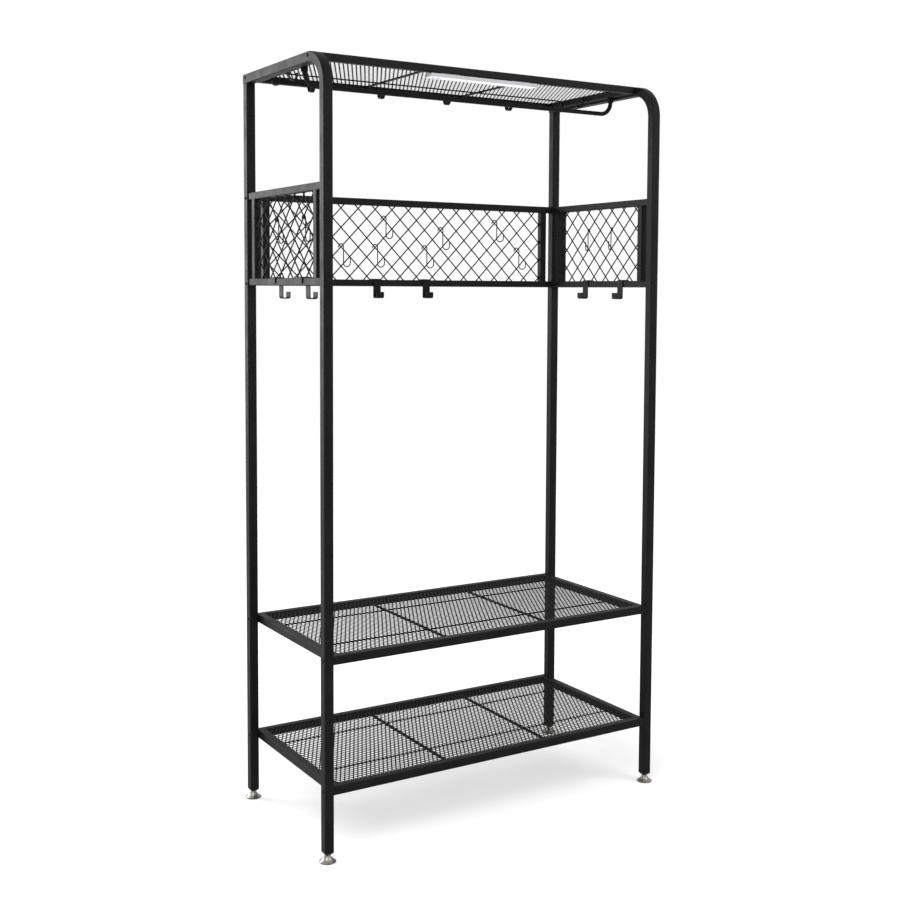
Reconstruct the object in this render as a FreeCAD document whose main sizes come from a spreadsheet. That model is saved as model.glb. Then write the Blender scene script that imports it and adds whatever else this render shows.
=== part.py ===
import FreeCAD, Part
import math
import os

from FreeCAD import Placement, Rotation, Vector

# Entryway storage rack: square-tube posts, three mesh shelves, lattice hook panels and a light bar.
# The origin is on the floor under the middle of the rack, +X to its right, +Y to its back, +Z up.
# All lengths are in millimetres.

doc = FreeCAD.newDocument("entryway_rack")

SIZES = {
    # Overall frame
    "rack_width": 1040,
    "rack_depth": 495,
    "rack_height": 1990,
    "post_size": 25,
    "post_wall": 1.5,
    "post_bottom": 25,
    "seam_height": 1007,
    "bend_inner_radius": 65,
    "bend_tail": 7,
    "sleeve_length": 80,
    "sleeve_wall": 2,
    "rail_sleeve_grip": 34,
    "sleeve_fit": 0.1,
    "cap_flange": 2.5,
    "cap_plug": 8,
    "cut_overrun": 2,
    # Shelf frames, braces and mesh
    "top_tube": 19,
    "shelf_tube": 22,
    "frame_wall": 1.2,
    "top_setback": 80,
    "middle_shelf_bottom": 495,
    "bottom_shelf_bottom": 168,
    "mesh_thickness": 2,
    "mesh_drop": 1,
    "mesh_cell_width": 44,
    "mesh_cell_length": 80,
    "mesh_strand": 5,
    "brace_width": 9,
    "brace_height": 4,
    "cross_rod_radius": 2,
    # Bolts and inserts
    "bolt_radius": 2.5,
    "bolt_fit": 0.2,
    "bolt_grip": 12,
    "bolt_head_radius": 4.5,
    "bolt_head_height": 2.4,
    "bolt_stagger": 4,
    "insert_length": 14,
    "insert_fit": 0.1,
    # Hook panels
    "panel_tube": 19,
    "panel_bottom": 1424,
    "panel_height": 249,
    "stile_width": 20,
    "stile_inset": 22,
    "lattice_wire_radius": 1.8,
    "lattice_pitch": 54.6,
    "lattice_level": 1536,
    "back_lattice_shift": -14.3,
    "side_lattice_shift": 0,
    # Wire hooks on the lattice
    "wire_hook_radius": 1.5,
    "wire_hook_saddle": 7.9,
    "wire_hook_back_leg": 3,
    "wire_hook_shank": 46,
    "wire_hook_bend": 11,
    "wire_hook_tip": 14,
    # Flat strip hooks on the panel rails
    "strip_width": 24,
    "strip_thickness": 2.5,
    "strip_fit": 0.3,
    "strip_rail_bend": 1.8,
    "strip_bend": 5,
    "strip_back_leg": 13,
    "strip_drop": 34,
    "strip_reach": 20,
    "strip_tip": 17,
    # Band hooks under the top shelf
    "band_width": 13,
    "band_thickness": 2.5,
    "band_root_drop": 5,
    "band_bend": 11.75,
    "band_drop": 17,
    "band_tip": 7,
    "rear_band_spacing": 218,
    "rear_band_shift": -7,
    "side_band_spacing": 105,
    "side_band_shift": 105,
    # Garment rod
    "garment_rod_radius": 6,
    "garment_rod_bend": 34,
    "garment_rod_drop": 48,
    "garment_rod_setback": 180,
    "socket_radius": 9.2,
    "socket_height": 14,
    "socket_depth": 12,
    "socket_fit": 0.2,
    # Light bar
    "light_length": 337,
    "light_depth": 38,
    "light_height": 9,
    "light_corner": 8,
    "light_wall": 1.5,
    "light_shift": -7.5,
    "light_front_gap": 1,
    "diffuser_thickness": 2,
    "diffuser_fit": 0.2,
    "magnet_length": 60,
    "magnet_depth": 14,
    "magnet_thickness": 1.5,
    "magnet_spacing": 220,
    "board_length": 225,
    "board_depth": 18,
    "board_thickness": 1.6,
    "battery_length": 62,
    "battery_depth": 22,
    "battery_thickness": 3.4,
    "battery_gap": 4,
    "sensor_radius": 5,
    "sensor_inset": 16,
    "button_radius": 3,
    "button_inset": 32,
    "button_proud": 1.2,
    "button_flange": 1,
    "button_travel": 0.8,
    "switch_side": 6,
    "switch_gap": 0.1,
    "light_hole_fit": 0.3,
    # Feet
    "plug_insert": 22,
    "plug_fit": 0.1,
    "plug_collar": 5,
    "plug_tip_radius": 9,
    "stem_radius": 4,
    "stem_fit": 0.1,
    "stem_seat_gap": 1,
    "foot_radius": 21.5,
    "foot_rim": 3,
    "foot_bell_height": 18,
    "foot_neck_radius": 8,
    "foot_curve": 16,
}

# Places of the braces as a share of the opening, and of the cross rods as a share of the rack's depth,
# both from the middle.
BRACE_SHARE = 1 / 6
CROSS_ROD_SHARE = 0.24

sheet = doc.addObject("Spreadsheet::Sheet", "size")
for row, (alias, value) in enumerate(SIZES.items(), start=1):
    sheet.set(f"A{row}", alias)
    sheet.set(f"B{row}", str(value))
    sheet.setAlias(f"B{row}", alias)
doc.recompute()

nodes = []
AXES = ("x", "y", "z")


def value(alias):
    """Reads a driving dimension for the pieces whose shape is worked out here."""
    return float(sheet.get(alias))


def node(piece, label):
    """Marks a document object as one finished sub-part."""
    piece.Label = label
    nodes.append(piece)
    return piece


def place(piece, centre):
    for axis, formula in zip(AXES, centre):
        piece.setExpression(f"Placement.Base.{axis}", formula)


def block(name, spans, centre):
    """Box with bound sides, placed by its middle."""
    piece = doc.addObject("Part::Box", name)
    for side, span in zip(("Length", "Width", "Height"), spans):
        piece.setExpression(side, span)
    place(piece, [f"({middle}) - ({span}) / 2" for middle, span in zip(centre, spans)])
    return piece


def rod(name, axis, radius, length, centre):
    """Cylinder along an axis, placed by its middle."""
    piece = doc.addObject("Part::Cylinder", name)
    piece.setExpression("Radius", radius)
    piece.setExpression("Height", length)
    turns = {"x": Rotation(Vector(0, 1, 0), 90), "y": Rotation(Vector(1, 0, 0), -90), "z": Rotation()}
    piece.Placement = Placement(Vector(), turns[axis])
    start = [f"({at}) - ({length}) / 2" if name_of == axis else at for name_of, at in zip(AXES, centre)]
    place(piece, start)
    return piece


def cut(name, base, tools):
    """Base with every tool taken away."""
    tool = tools[0]
    if len(tools) > 1:
        tool = doc.addObject("Part::MultiFuse", f"{name}_tools")
        tool.Shapes = tools
    piece = doc.addObject("Part::Cut", name)
    piece.Base = base
    piece.Tool = tool
    return piece


def group(name, members):
    """Separate solids that are one node."""
    piece = doc.addObject("Part::Compound", name)
    piece.Links = members
    return piece


def tube_spans(axis, length, side, wall="0"):
    across = f"({side}) - 2 * ({wall})"
    return [length if name == axis else across for name in AXES]


def tube(name, axis, length, side, wall, centre, holes=()):
    """Square tube along an axis, open at both ends, with any cross holes."""
    outer = block(f"{name}_outer", tube_spans(axis, length, side), centre)
    bore_length = f"({length}) + 2 * size.cut_overrun"
    inner = block(f"{name}_bore", tube_spans(axis, bore_length, side, wall), centre)
    return cut(name, outer, [inner, *holes])


def solid_node(label, shape):
    """Sub-part whose shape is worked out from the sheet's values."""
    piece = doc.addObject("Part::Feature", label)
    piece.Shape = shape
    return node(piece, label)


def sweep(edges, profile):
    """Solid of one profile along straight and round edges."""
    return Part.Wire(edges).makePipeShell([Part.Wire(profile)], True, False)


# Formulas that several pieces share

post_x = "(size.rack_width - size.post_size) / 2"
post_y = "(size.rack_depth - size.post_size) / 2"
inner_width = "(size.rack_width - 2 * size.post_size)"
hole_radius = "(size.bolt_radius + size.bolt_fit)"
hole_length = "(size.post_size + 2 * size.cut_overrun)"
panel_low_rail = "(size.panel_bottom + size.panel_tube / 2)"
panel_high_rail = "(size.panel_bottom + size.panel_height - size.panel_tube / 2)"
shelf_levels = {
    "middle": "(size.middle_shelf_bottom + size.shelf_tube / 2)",
    "bottom": "(size.bottom_shelf_bottom + size.shelf_tube / 2)",
}
top_level = "(size.rack_height - size.top_tube / 2)"
top_front_y = "(-size.rack_depth / 2 + size.top_setback + size.top_tube / 2)"
rail_level = "(size.rack_height - size.post_size / 2)"
corners = [
    ("front_left", -1, -1),
    ("front_right", 1, -1),
    ("rear_left", -1, 1),
    ("rear_right", 1, 1),
]
sides = [("left", -1), ("right", 1)]


def post_tube(label, axis, length, centre, holes):
    """Length of the frame's square tube as a finished sub-part."""
    return node(tube(label, axis, length, "size.post_size", "size.post_wall", centre, holes), label)


# Lower posts: straight square tube, cross-drilled for the two lower shelves

for corner, side_x, side_y in corners:
    label = f"{corner}_lower_post"
    centre_x = f"{side_x} * {post_x}"
    centre_y = f"{side_y} * {post_y}"
    holes = [
        rod(f"{label}_{shelf}_hole", "x", hole_radius, hole_length, (centre_x, centre_y, level))
        for shelf, level in shelf_levels.items()
    ]
    length = "size.seam_height - size.post_bottom"
    middle = "(size.seam_height + size.post_bottom) / 2"
    post_tube(label, "z", length, (centre_x, centre_y, middle), holes)

# Rear upper posts: straight tube up to the underside of the top rails

for corner, side_x, side_y in corners[2:]:
    label = f"{corner}_upper_post"
    centre_x = f"{side_x} * {post_x}"
    centre_y = f"{side_y} * {post_y}"
    holes = []
    for rail, level in (("low", panel_low_rail), ("high", panel_high_rail)):
        below = (centre_x, centre_y, f"{level} - size.bolt_stagger")
        above = (centre_x, centre_y, f"{level} + size.bolt_stagger")
        holes.append(rod(f"{label}_{rail}_back_hole", "x", hole_radius, hole_length, below))
        holes.append(rod(f"{label}_{rail}_side_hole", "y", hole_radius, hole_length, above))
    length = "size.rack_height - size.post_size - size.seam_height"
    middle = "(size.rack_height - size.post_size + size.seam_height) / 2"
    post_tube(label, "z", length, (centre_x, centre_y, middle), holes)

# Front upper posts: the tube bends backwards at the top and ends in a short straight tail

bend_outer = "(size.bend_inner_radius + size.post_size)"
bend_centre_y = f"(-size.rack_depth / 2 + {bend_outer})"
bend_centre_z = f"(size.rack_height - {bend_outer})"


def quarter_ring(name, outer_radius, inner_radius, width, centre_x):
    """Quarter ring about X, from the front of the post to its top."""
    parts = []
    for part, radius, extra in (("rim", outer_radius, "0"), ("hub", inner_radius, "2 * size.cut_overrun")):
        piece = doc.addObject("Part::Cylinder", f"{name}_{part}")
        piece.setExpression("Radius", radius)
        piece.setExpression("Height", f"{width} + {extra}")
        piece.Angle = 90
        turn = Rotation(Vector(0, 0, 1), Vector(0, -1, 0), Vector(1, 0, 0), "XYZ")
        piece.Placement = Placement(Vector(), turn)
        place(piece, (f"({centre_x}) - ({width} + {extra}) / 2", bend_centre_y, bend_centre_z))
        parts.append(piece)
    return cut(name, parts[0], [parts[1]])


def bent_post_body(name, wall, overrun, centre_x):
    """Upright, bend and tail of a front post as one solid; the wall is zero for its outside."""
    across = f"(size.post_size - 2 * {wall})"
    low = f"(size.seam_height - {overrun})"
    upright = block(
        f"{name}_upright",
        (across, across, f"{bend_centre_z} - {low}"),
        (centre_x, f"-{post_y}", f"({bend_centre_z} + {low}) / 2"),
    )
    bend = quarter_ring(
        f"{name}_bend", f"({bend_outer} - {wall})", f"(size.bend_inner_radius + {wall})", across, centre_x
    )
    tail_length = f"(size.bend_tail + {overrun})"
    tail = block(
        f"{name}_tail",
        (across, tail_length, across),
        (centre_x, f"{bend_centre_y} + {tail_length} / 2", rail_level),
    )
    piece = doc.addObject("Part::MultiFuse", name)
    piece.Shapes = [upright, bend, tail]
    return piece


for corner, side_x, side_y in corners[:2]:
    label = f"{corner}_upper_post"
    centre_x = f"{side_x} * {post_x}"
    outside = bent_post_body(f"{label}_outside", "0", "0", centre_x)
    inside = bent_post_body(f"{label}_inside", "size.post_wall", "size.cut_overrun", centre_x)
    holes = [
        rod(f"{label}_{rail}_hole", "y", hole_radius, hole_length,
            (centre_x, f"-{post_y}", f"{level} + size.bolt_stagger"))
        for rail, level in (("low", panel_low_rail), ("high", panel_high_rail))
    ]
    holes.append(rod(f"{label}_top_hole", "x", hole_radius, hole_length, (centre_x, top_front_y, top_level)))
    node(cut(label, outside, [inside, *holes]), label)

# Top side rails: from the bent posts' tails to the back, over the rear posts

rail_start = f"({bend_centre_y} + size.bend_tail)"
rail_end = "(size.rack_depth / 2)"
for side, sign in sides:
    label = f"{side}_top_rail"
    centre_x = f"{sign} * {post_x}"
    hole = rod(f"{label}_hole", "x", hole_radius, hole_length, (centre_x, post_y, top_level))
    centre = (centre_x, f"({rail_start} + {rail_end}) / 2", rail_level)
    post_tube(label, "y", f"{rail_end} - {rail_start}", centre, [hole])

# Splice sleeves: short tubes inside the post seams and inside the two top rail seams

sleeve_side = "(size.post_size - 2 * size.post_wall - 2 * size.sleeve_fit)"
sleeves = [
    tube(f"{corner}_sleeve", "z", "size.sleeve_length", sleeve_side, "size.sleeve_wall",
         (f"{side_x} * {post_x}", f"{side_y} * {post_y}", "size.seam_height"))
    for corner, side_x, side_y in corners
]
rail_sleeve_length = "(size.bend_tail + size.rail_sleeve_grip)"
for side, sign in sides:
    centre_x = f"{sign} * {post_x}"
    hole = rod(f"{side}_rail_sleeve_hole", "x", hole_radius, hole_length, (centre_x, top_front_y, top_level))
    sleeves.append(
        tube(f"{side}_rail_sleeve", "y", rail_sleeve_length, sleeve_side, "size.sleeve_wall",
             (centre_x, f"{bend_centre_y} + {rail_sleeve_length} / 2", rail_level), [hole])
    )
node(group("splice_sleeves", sleeves), "splice_sleeves")

# End caps: a flat flange and a plug in the open rear end of each top rail

caps = []
for side, sign in sides:
    centre_x = f"{sign} * {post_x}"
    flange = block(
        f"{side}_cap_flange",
        ("size.post_size", "size.cap_flange", "size.post_size"),
        (centre_x, f"{rail_end} + size.cap_flange / 2", rail_level),
    )
    plug = block(
        f"{side}_cap_plug",
        (sleeve_side, "size.cap_plug", sleeve_side),
        (centre_x, f"{rail_end} - size.cap_plug / 2", rail_level),
    )
    cap = doc.addObject("Part::Fuse", f"{side}_end_cap")
    cap.Base = flange
    cap.Tool = plug
    caps.append(cap)
node(group("rail_end_caps", caps), "rail_end_caps")

# Shelves: a welded tube frame, two braces and two cross rods under an expanded metal mesh


def shelf(name, side, front_y, rear_y, level):
    """Frame of one shelf from its front and rear rails' middles, with its mesh inside the opening."""
    top = f"({level} + {side} / 2)"
    opening_width = f"({inner_width} - 2 * {side})"
    opening_depth = f"({rear_y} - {front_y} - {side})"
    middle_y = f"(({rear_y} + {front_y}) / 2)"
    mesh_top = f"({top} - size.mesh_drop)"
    mesh_bottom = f"({mesh_top} - size.mesh_thickness)"
    members = [
        tube(f"{name}_{end}_rail", "x", inner_width, side, "size.frame_wall", ("0", at, level))
        for end, at in (("front", front_y), ("rear", rear_y))
    ]
    for hand, sign in sides:
        centre = (f"{sign} * ({inner_width} - {side}) / 2", middle_y, level)
        member = tube(f"{name}_{hand}_member", "y", opening_depth, side, "size.frame_wall", centre)
        brace = block(
            f"{name}_{hand}_brace",
            ("size.brace_width", opening_depth, "size.brace_height"),
            (f"{sign * BRACE_SHARE} * {opening_width}", middle_y, f"{mesh_bottom} - size.brace_height / 2"),
        )
        members += [member, brace]
    for end, sign in (("front", -1), ("rear", 1)):
        at_y = f"{sign * CROSS_ROD_SHARE} * size.rack_depth"
        at_z = f"{mesh_bottom} - size.brace_height - size.cross_rod_radius"
        members.append(
            rod(f"{name}_{end}_cross_rod", "x", "size.cross_rod_radius", opening_width, ("0", at_y, at_z))
        )
    node(group(f"{name}_shelf_frame", members), f"{name}_shelf_frame")


def mesh_sheet(opening_width, opening_depth):
    """Sheet with rows of diamond gaps that end in half diamonds at its edges."""
    strand = value("mesh_strand")
    field_width = opening_width - strand
    field_depth = opening_depth - strand
    columns = max(1, round(field_width / value("mesh_cell_width")))
    rows = max(1, round(field_depth / value("mesh_cell_length")))
    cell_width = field_width / columns
    cell_length = field_depth / rows
    slope = math.hypot(cell_width, cell_length)
    half_width = cell_width / 2 - strand * slope / cell_length / 2
    half_length = cell_length / 2 - strand * slope / cell_width / 2
    edge_x = field_width / 2
    edge_y = field_depth / 2

    def held(at_x, at_y):
        return Vector(max(-edge_x, min(edge_x, at_x)), max(-edge_y, min(edge_y, at_y)), 0)

    gaps = []
    for step_x in range(2 * columns + 1):
        for step_y in range(2 * rows + 1):
            if (step_x + step_y) % 2:
                continue
            mid_x = step_x * cell_width / 2 - edge_x
            mid_y = step_y * cell_length / 2 - edge_y
            points = [
                held(mid_x + half_width, mid_y),
                held(mid_x, mid_y + half_length),
                held(mid_x - half_width, mid_y),
                held(mid_x, mid_y - half_length),
            ]
            corner = step_x in (0, 2 * columns) and step_y in (0, 2 * rows)
            if not corner:
                gaps.append(Part.makePolygon(points + points[:1]))
    outline = Part.makePlane(
        opening_width, opening_depth, Vector(-opening_width / 2, -opening_depth / 2, 0)
    ).OuterWire
    face = Part.makeFace([outline, *gaps], "Part::FaceMakerBullseye")
    return face.extrude(Vector(0, 0, value("mesh_thickness")))


def shelf_mesh(name, side, front_y, rear_y, level):
    opening_width = value("rack_width") - 2 * value("post_size") - 2 * side
    opening_depth = rear_y - front_y - side
    piece = solid_node(f"{name}_shelf_mesh", mesh_sheet(opening_width, opening_depth))
    low = level + side / 2 - value("mesh_drop") - value("mesh_thickness")
    piece.Placement = Placement(Vector(0, (front_y + rear_y) / 2, low), Rotation())


shelf("top", "size.top_tube", top_front_y, post_y, top_level)
for name, level in shelf_levels.items():
    shelf(name, "size.shelf_tube", f"(-{post_y})", post_y, level)

post_row = (value("rack_depth") - value("post_size")) / 2
top_row = -value("rack_depth") / 2 + value("top_setback") + value("top_tube") / 2
shelf_mesh("top", value("top_tube"), top_row, post_row, value("rack_height") - value("top_tube") / 2)
for name in shelf_levels:
    low = value(f"{name}_shelf_bottom")
    shelf_mesh(name, value("shelf_tube"), -post_row, post_row, low + value("shelf_tube") / 2)

# Hook panels: two rails and two stiles round a welded lattice of crossing wires

panel_mid = "(size.panel_bottom + size.panel_height / 2)"
stile_length = "(size.panel_height - 2 * size.panel_tube)"


def panel_frame(label, along, length, centre_x, centre_y):
    """Rails between two posts along one axis, with two stiles set in from the posts."""

    def at(offset, level):
        if along == "x":
            return (f"{centre_x} + {offset}", centre_y, level)
        return (centre_x, f"{centre_y} + {offset}", level)

    members = [
        tube(f"{label}_{rail}_rail", along, length, "size.panel_tube", "size.frame_wall", at("0", level))
        for rail, level in (("low", panel_low_rail), ("high", panel_high_rail))
    ]
    for end, sign in (("first", -1), ("second", 1)):
        offset = f"{sign} * ({length} / 2 - size.stile_inset - size.stile_width / 2)"
        wide = ("size.stile_width", "size.panel_tube", stile_length)
        bore = ("size.stile_width - 2 * size.frame_wall", "size.panel_tube - 2 * size.frame_wall",
                f"{stile_length} + 2 * size.cut_overrun")
        if along == "y":
            wide = (wide[1], wide[0], wide[2])
            bore = (bore[1], bore[0], bore[2])
        outer = block(f"{label}_{end}_stile_outer", wide, at(offset, panel_mid))
        inner = block(f"{label}_{end}_stile_bore", bore, at(offset, panel_mid))
        members.append(cut(f"{label}_{end}_stile", outer, [inner]))
    node(group(f"{label}_frame", members), f"{label}_frame")


side_length = "(size.rack_depth - 2 * size.post_size)"
panel_frame("back_panel", "x", inner_width, "0", post_y)
for side, sign in sides:
    panel_frame(f"{side}_panel", "y", side_length, f"{sign} * {post_x}", "0")


def lattice(width, height, shift, level):
    """Two layers of wires at 45 degrees that touch where they cross, cut off at the opening's edges."""
    radius = value("lattice_wire_radius")
    pitch = value("lattice_pitch")
    window = Part.makeBox(width, 4 * radius, height, Vector(-width / 2, -2 * radius, -height / 2))
    reach = int((width + height) / pitch) + 2
    shortest = 4 * radius
    wires = []
    for lean, layer in ((1, -radius), (-1, radius)):
        for step in range(-reach, reach + 1):
            foot = shift + step * pitch
            ends = sorted((foot + lean * (edge - level) for edge in (-height / 2, height / 2)))
            low = max(ends[0], -width / 2)
            high = min(ends[1], width / 2)
            if high - low < shortest:
                continue
            low -= 2 * radius
            high += 2 * radius
            start = Vector(low, layer, level + lean * (low - foot))
            run = Vector(high - low, 0, lean * (high - low))
            wires.append(Part.makeCylinder(radius, run.Length, start, run).common(window))
    return Part.makeCompound([solid for wire in wires for solid in wire.Solids])


panel_middle = value("panel_bottom") + value("panel_height") / 2
panel_rise = value("panel_height") - 2 * value("panel_tube")
stile_room = 2 * (value("stile_inset") + value("stile_width"))
back_span = value("rack_width") - 2 * value("post_size") - stile_room
side_span = value("rack_depth") - 2 * value("post_size") - stile_room
crossing_level = value("lattice_level") - panel_middle
post_column = (value("rack_width") - value("post_size")) / 2

# Each panel is drawn in its own frame: along the panel, towards its outside, up.
back_seat = Placement(Vector(0, post_row, panel_middle), Rotation())
left_seat = Placement(Vector(-post_column, 0, panel_middle), Rotation(Vector(0, 0, 1), 90))
right_seat = Placement(Vector(post_column, 0, panel_middle), Rotation(Vector(0, 0, 1), -90))
panels = {
    "back": (back_seat, back_span, value("back_lattice_shift")),
    "left": (left_seat, side_span, value("side_lattice_shift")),
    "right": (right_seat, side_span, -value("side_lattice_shift")),
}
for name, (seat, span, shift) in panels.items():
    piece = solid_node(f"{name}_panel_lattice", lattice(span, panel_rise, shift, crossing_level))
    piece.Placement = seat

# Wire hooks: a saddle over a lattice crossing, a shank and an open bend, turned a little to the right
# Each hangs on the crossing nearest to its place, in shares of the panel's half length and half height.

WIRE_HOOK_TURN = 34
WIRE_HOOK_SHARES = {
    "back": [
        (-0.51, -0.12), (-0.27, -0.12), (-0.21, 0.66), (0.09, -0.12),
        (0.21, 0.40), (0.63, 0.66), (0.81, -0.12),
    ],
    "left": [(0.30, 0.40), (-0.60, 0.40)],
    "right": [(-0.30, 0.40), (0.30, 0.40)],
}
half_pitch = value("lattice_pitch") / 2


def crossing_near(along_share, up_share, span, shift):
    """Nearest crossing in half pitches along and up; both counts are odd or both are even."""
    up = round((up_share * panel_rise / 2 - crossing_level) / half_pitch)
    along = (along_share * span / 2 - shift) / half_pitch
    return up + 2 * round((along - up) / 2), up


def wire_hook():
    """Hook in the plane of its bends, with the crossing at the origin and its open side forward."""
    saddle = value("wire_hook_saddle")
    shank = value("wire_hook_shank")
    bend = value("wire_hook_bend")
    tip = value("wire_hook_tip")
    back_end = Vector(0, saddle, -value("wire_hook_back_leg"))
    back = Vector(0, saddle, 0)
    front = Vector(0, -saddle, 0)
    heel = Vector(0, -saddle, -shank)
    toe = Vector(0, -saddle - 2 * bend, -shank)
    edges = [
        Part.LineSegment(back_end, back).toShape(),
        Part.Arc(back, Vector(0, 0, saddle), front).toShape(),
        Part.LineSegment(front, heel).toShape(),
        Part.Arc(heel, Vector(0, -saddle - bend, -shank - bend), toe).toShape(),
        Part.LineSegment(toe, toe + Vector(0, 0, tip)).toShape(),
    ]
    profile = Part.makeCircle(value("wire_hook_radius"), back_end, Vector(0, 0, 1))
    return sweep(edges, profile)


for name, shares in WIRE_HOOK_SHARES.items():
    seat, span, shift = panels[name]
    for number, (along_share, up_share) in enumerate(shares, start=1):
        along, up = crossing_near(along_share, up_share, span, shift)
        spot = Vector(shift + along * half_pitch, 0, crossing_level + up * half_pitch)
        piece = solid_node(f"{name}_wire_hook_{number}", wire_hook())
        piece.Placement = seat.multiply(Placement(spot, Rotation(Vector(0, 0, 1), WIRE_HOOK_TURN)))

# Flat strip hooks: bent strip that sits over a panel's bottom rail, in the wider gaps between its wires
# Their places are shares of the panel's half length from its middle.

STRIP_SHARES = {"back": [-0.27, 0.09], "left": [0.30, -0.60], "right": [-0.30, 0.60]}


def rounded_path(points, radii):
    """Straight runs joined by round corners, with one radius for each corner."""
    edges = []
    start = points[0]
    for before, corner, after, radius in zip(points, points[1:], points[2:], radii):
        back = (before - corner).normalize()
        ahead = (after - corner).normalize()
        half_turn = back.getAngle(ahead) / 2
        setback = radius / math.tan(half_turn)
        first = corner + back * setback
        last = corner + ahead * setback
        inward = (back + ahead).normalize()
        middle = corner + inward * (radius / math.sin(half_turn) - radius)
        edges.append(Part.LineSegment(start, first).toShape())
        edges.append(Part.Arc(first, middle, last).toShape())
        start = last
    edges.append(Part.LineSegment(start, points[-1]).toShape())
    return edges


def flat_profile(middle, width, thickness):
    """Outline of a flat strip across X and Y."""
    corners_of_strip = [
        middle + Vector(side_a * width / 2, side_b * thickness / 2, 0)
        for side_a, side_b in ((-1, -1), (1, -1), (1, 1), (-1, 1))
    ]
    return Part.makePolygon(corners_of_strip + corners_of_strip[:1])


def strip_hook():
    """Strip hook in its panel's frame, with the middle of the rail at the origin."""
    half_rail = value("panel_tube") / 2
    thickness = value("strip_thickness")
    out = half_rail + value("strip_fit") + thickness / 2
    floor = -half_rail - value("strip_drop") + thickness / 2
    points = [
        Vector(0, out, half_rail - value("strip_back_leg")),
        Vector(0, out, out),
        Vector(0, -out, out),
        Vector(0, -out, floor),
        Vector(0, -out - value("strip_reach"), floor),
        Vector(0, -out - value("strip_reach"), floor + value("strip_tip")),
    ]
    profile = flat_profile(points[0], value("strip_width"), thickness)
    over_rail = [value("strip_rail_bend")] * 2
    open_end = [value("strip_bend")] * 2
    return sweep(rounded_path(points, over_rail + open_end), profile)


rail_below = value("panel_bottom") + value("panel_tube") / 2 - panel_middle
levels_below = (-panel_rise / 2 - crossing_level) / half_pitch
wide_gap_count = math.floor(levels_below)
if levels_below - wide_gap_count < 0.5:
    wide_gap_count += 1
for name, shares in STRIP_SHARES.items():
    seat, span, shift = panels[name]
    for number, along_share in enumerate(shares, start=1):
        along = (along_share * span / 2 - shift) / half_pitch
        column = wide_gap_count + 2 * round((along - wide_gap_count) / 2)
        spot = Vector(shift + column * half_pitch, 0, rail_below)
        piece = solid_node(f"{name}_strip_hook_{number}", strip_hook())
        piece.Placement = seat.multiply(Placement(spot, Rotation()))

# Band hooks: flat steel band welded to the inside of the top shelf frame, bent forward and up


def band_hook():
    """Hook with the frame's inside face at the origin and its open side forward, the frame's top at zero."""
    thickness = value("band_thickness")
    bend = value("band_bend")
    root = Vector(0, -thickness / 2, -value("band_root_drop"))
    lowest = -value("top_tube") - value("band_drop")
    heel = Vector(0, -thickness / 2, lowest + bend + thickness / 2)
    toe = heel + Vector(0, -2 * bend, 0)
    edges = [
        Part.LineSegment(root, heel).toShape(),
        Part.Arc(heel, heel + Vector(0, -bend, -bend), toe).toShape(),
        Part.LineSegment(toe, toe + Vector(0, 0, value("band_tip"))).toShape(),
    ]
    return sweep(edges, flat_profile(root, value("band_width"), thickness))


def hook_row(label, seats):
    hooks = []
    for seat in seats:
        hook = band_hook()
        hook.Placement = seat
        hooks.append(hook)
    solid_node(label, Part.makeCompound([solid for hook in hooks for solid in hook.Solids]))


frame_top = value("rack_height")
rear_face = post_row - value("top_tube") / 2
rear_columns = [value("rear_band_shift") + step * value("rear_band_spacing") for step in (-1.5, -0.5, 0.5, 1.5)]
hook_row(
    "rear_rail_hooks",
    [Placement(Vector(column, rear_face, frame_top), Rotation()) for column in rear_columns],
)
member_face = value("rack_width") / 2 - value("post_size") - value("top_tube")
hook_row(
    "side_rail_hooks",
    [
        Placement(
            Vector(sign * member_face, value("side_band_shift") + step * value("side_band_spacing"), frame_top),
            Rotation(Vector(0, 0, 1), -sign * 90),
        )
        for _, sign in sides
        for step in (-0.5, 0.5)
    ],
)

# Garment rod: round rod bent up at both ends into sockets under the top shelf's side members

frame_underside = value("rack_height") - value("top_tube")
rod_column = value("rack_width") / 2 - value("post_size") - value("top_tube") / 2
rod_row = -value("rack_depth") / 2 + value("garment_rod_setback")
rod_top = frame_underside - value("socket_height") + value("socket_depth")
rod_level = frame_underside - value("garment_rod_drop")
rod_points = [
    Vector(-rod_column, rod_row, rod_top),
    Vector(-rod_column, rod_row, rod_level),
    Vector(rod_column, rod_row, rod_level),
    Vector(rod_column, rod_row, rod_top),
]
rod_profile = Part.makeCircle(value("garment_rod_radius"), rod_points[0], Vector(0, 0, -1))
rod_path = rounded_path(rod_points, [value("garment_rod_bend")] * 2)
solid_node("garment_rod", sweep(rod_path, rod_profile))

sockets = []
for side, sign in sides:
    low = frame_underside - value("socket_height")
    base = Vector(sign * rod_column, rod_row, low)
    shell = Part.makeCylinder(value("socket_radius"), value("socket_height"), base)
    bore_radius = value("garment_rod_radius") + value("socket_fit")
    sockets.append(shell.cut(Part.makeCylinder(bore_radius, value("socket_depth"), base)))
solid_node("rod_sockets", Part.makeCompound(sockets))

# Bolts: one kind for every joint, each with a low round head against the outside of a post or rail


def bolt():
    """Bolt along +X, with the underside of its head at the origin."""
    along = Vector(1, 0, 0)
    head_height = value("bolt_head_height")
    shank = Part.makeCylinder(value("bolt_radius"), value("post_size") + value("bolt_grip"), Vector(), along)
    head = Part.makeCylinder(value("bolt_head_radius"), head_height, along * -head_height, along)
    return head.fuse(shank).removeSplitter()


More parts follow.
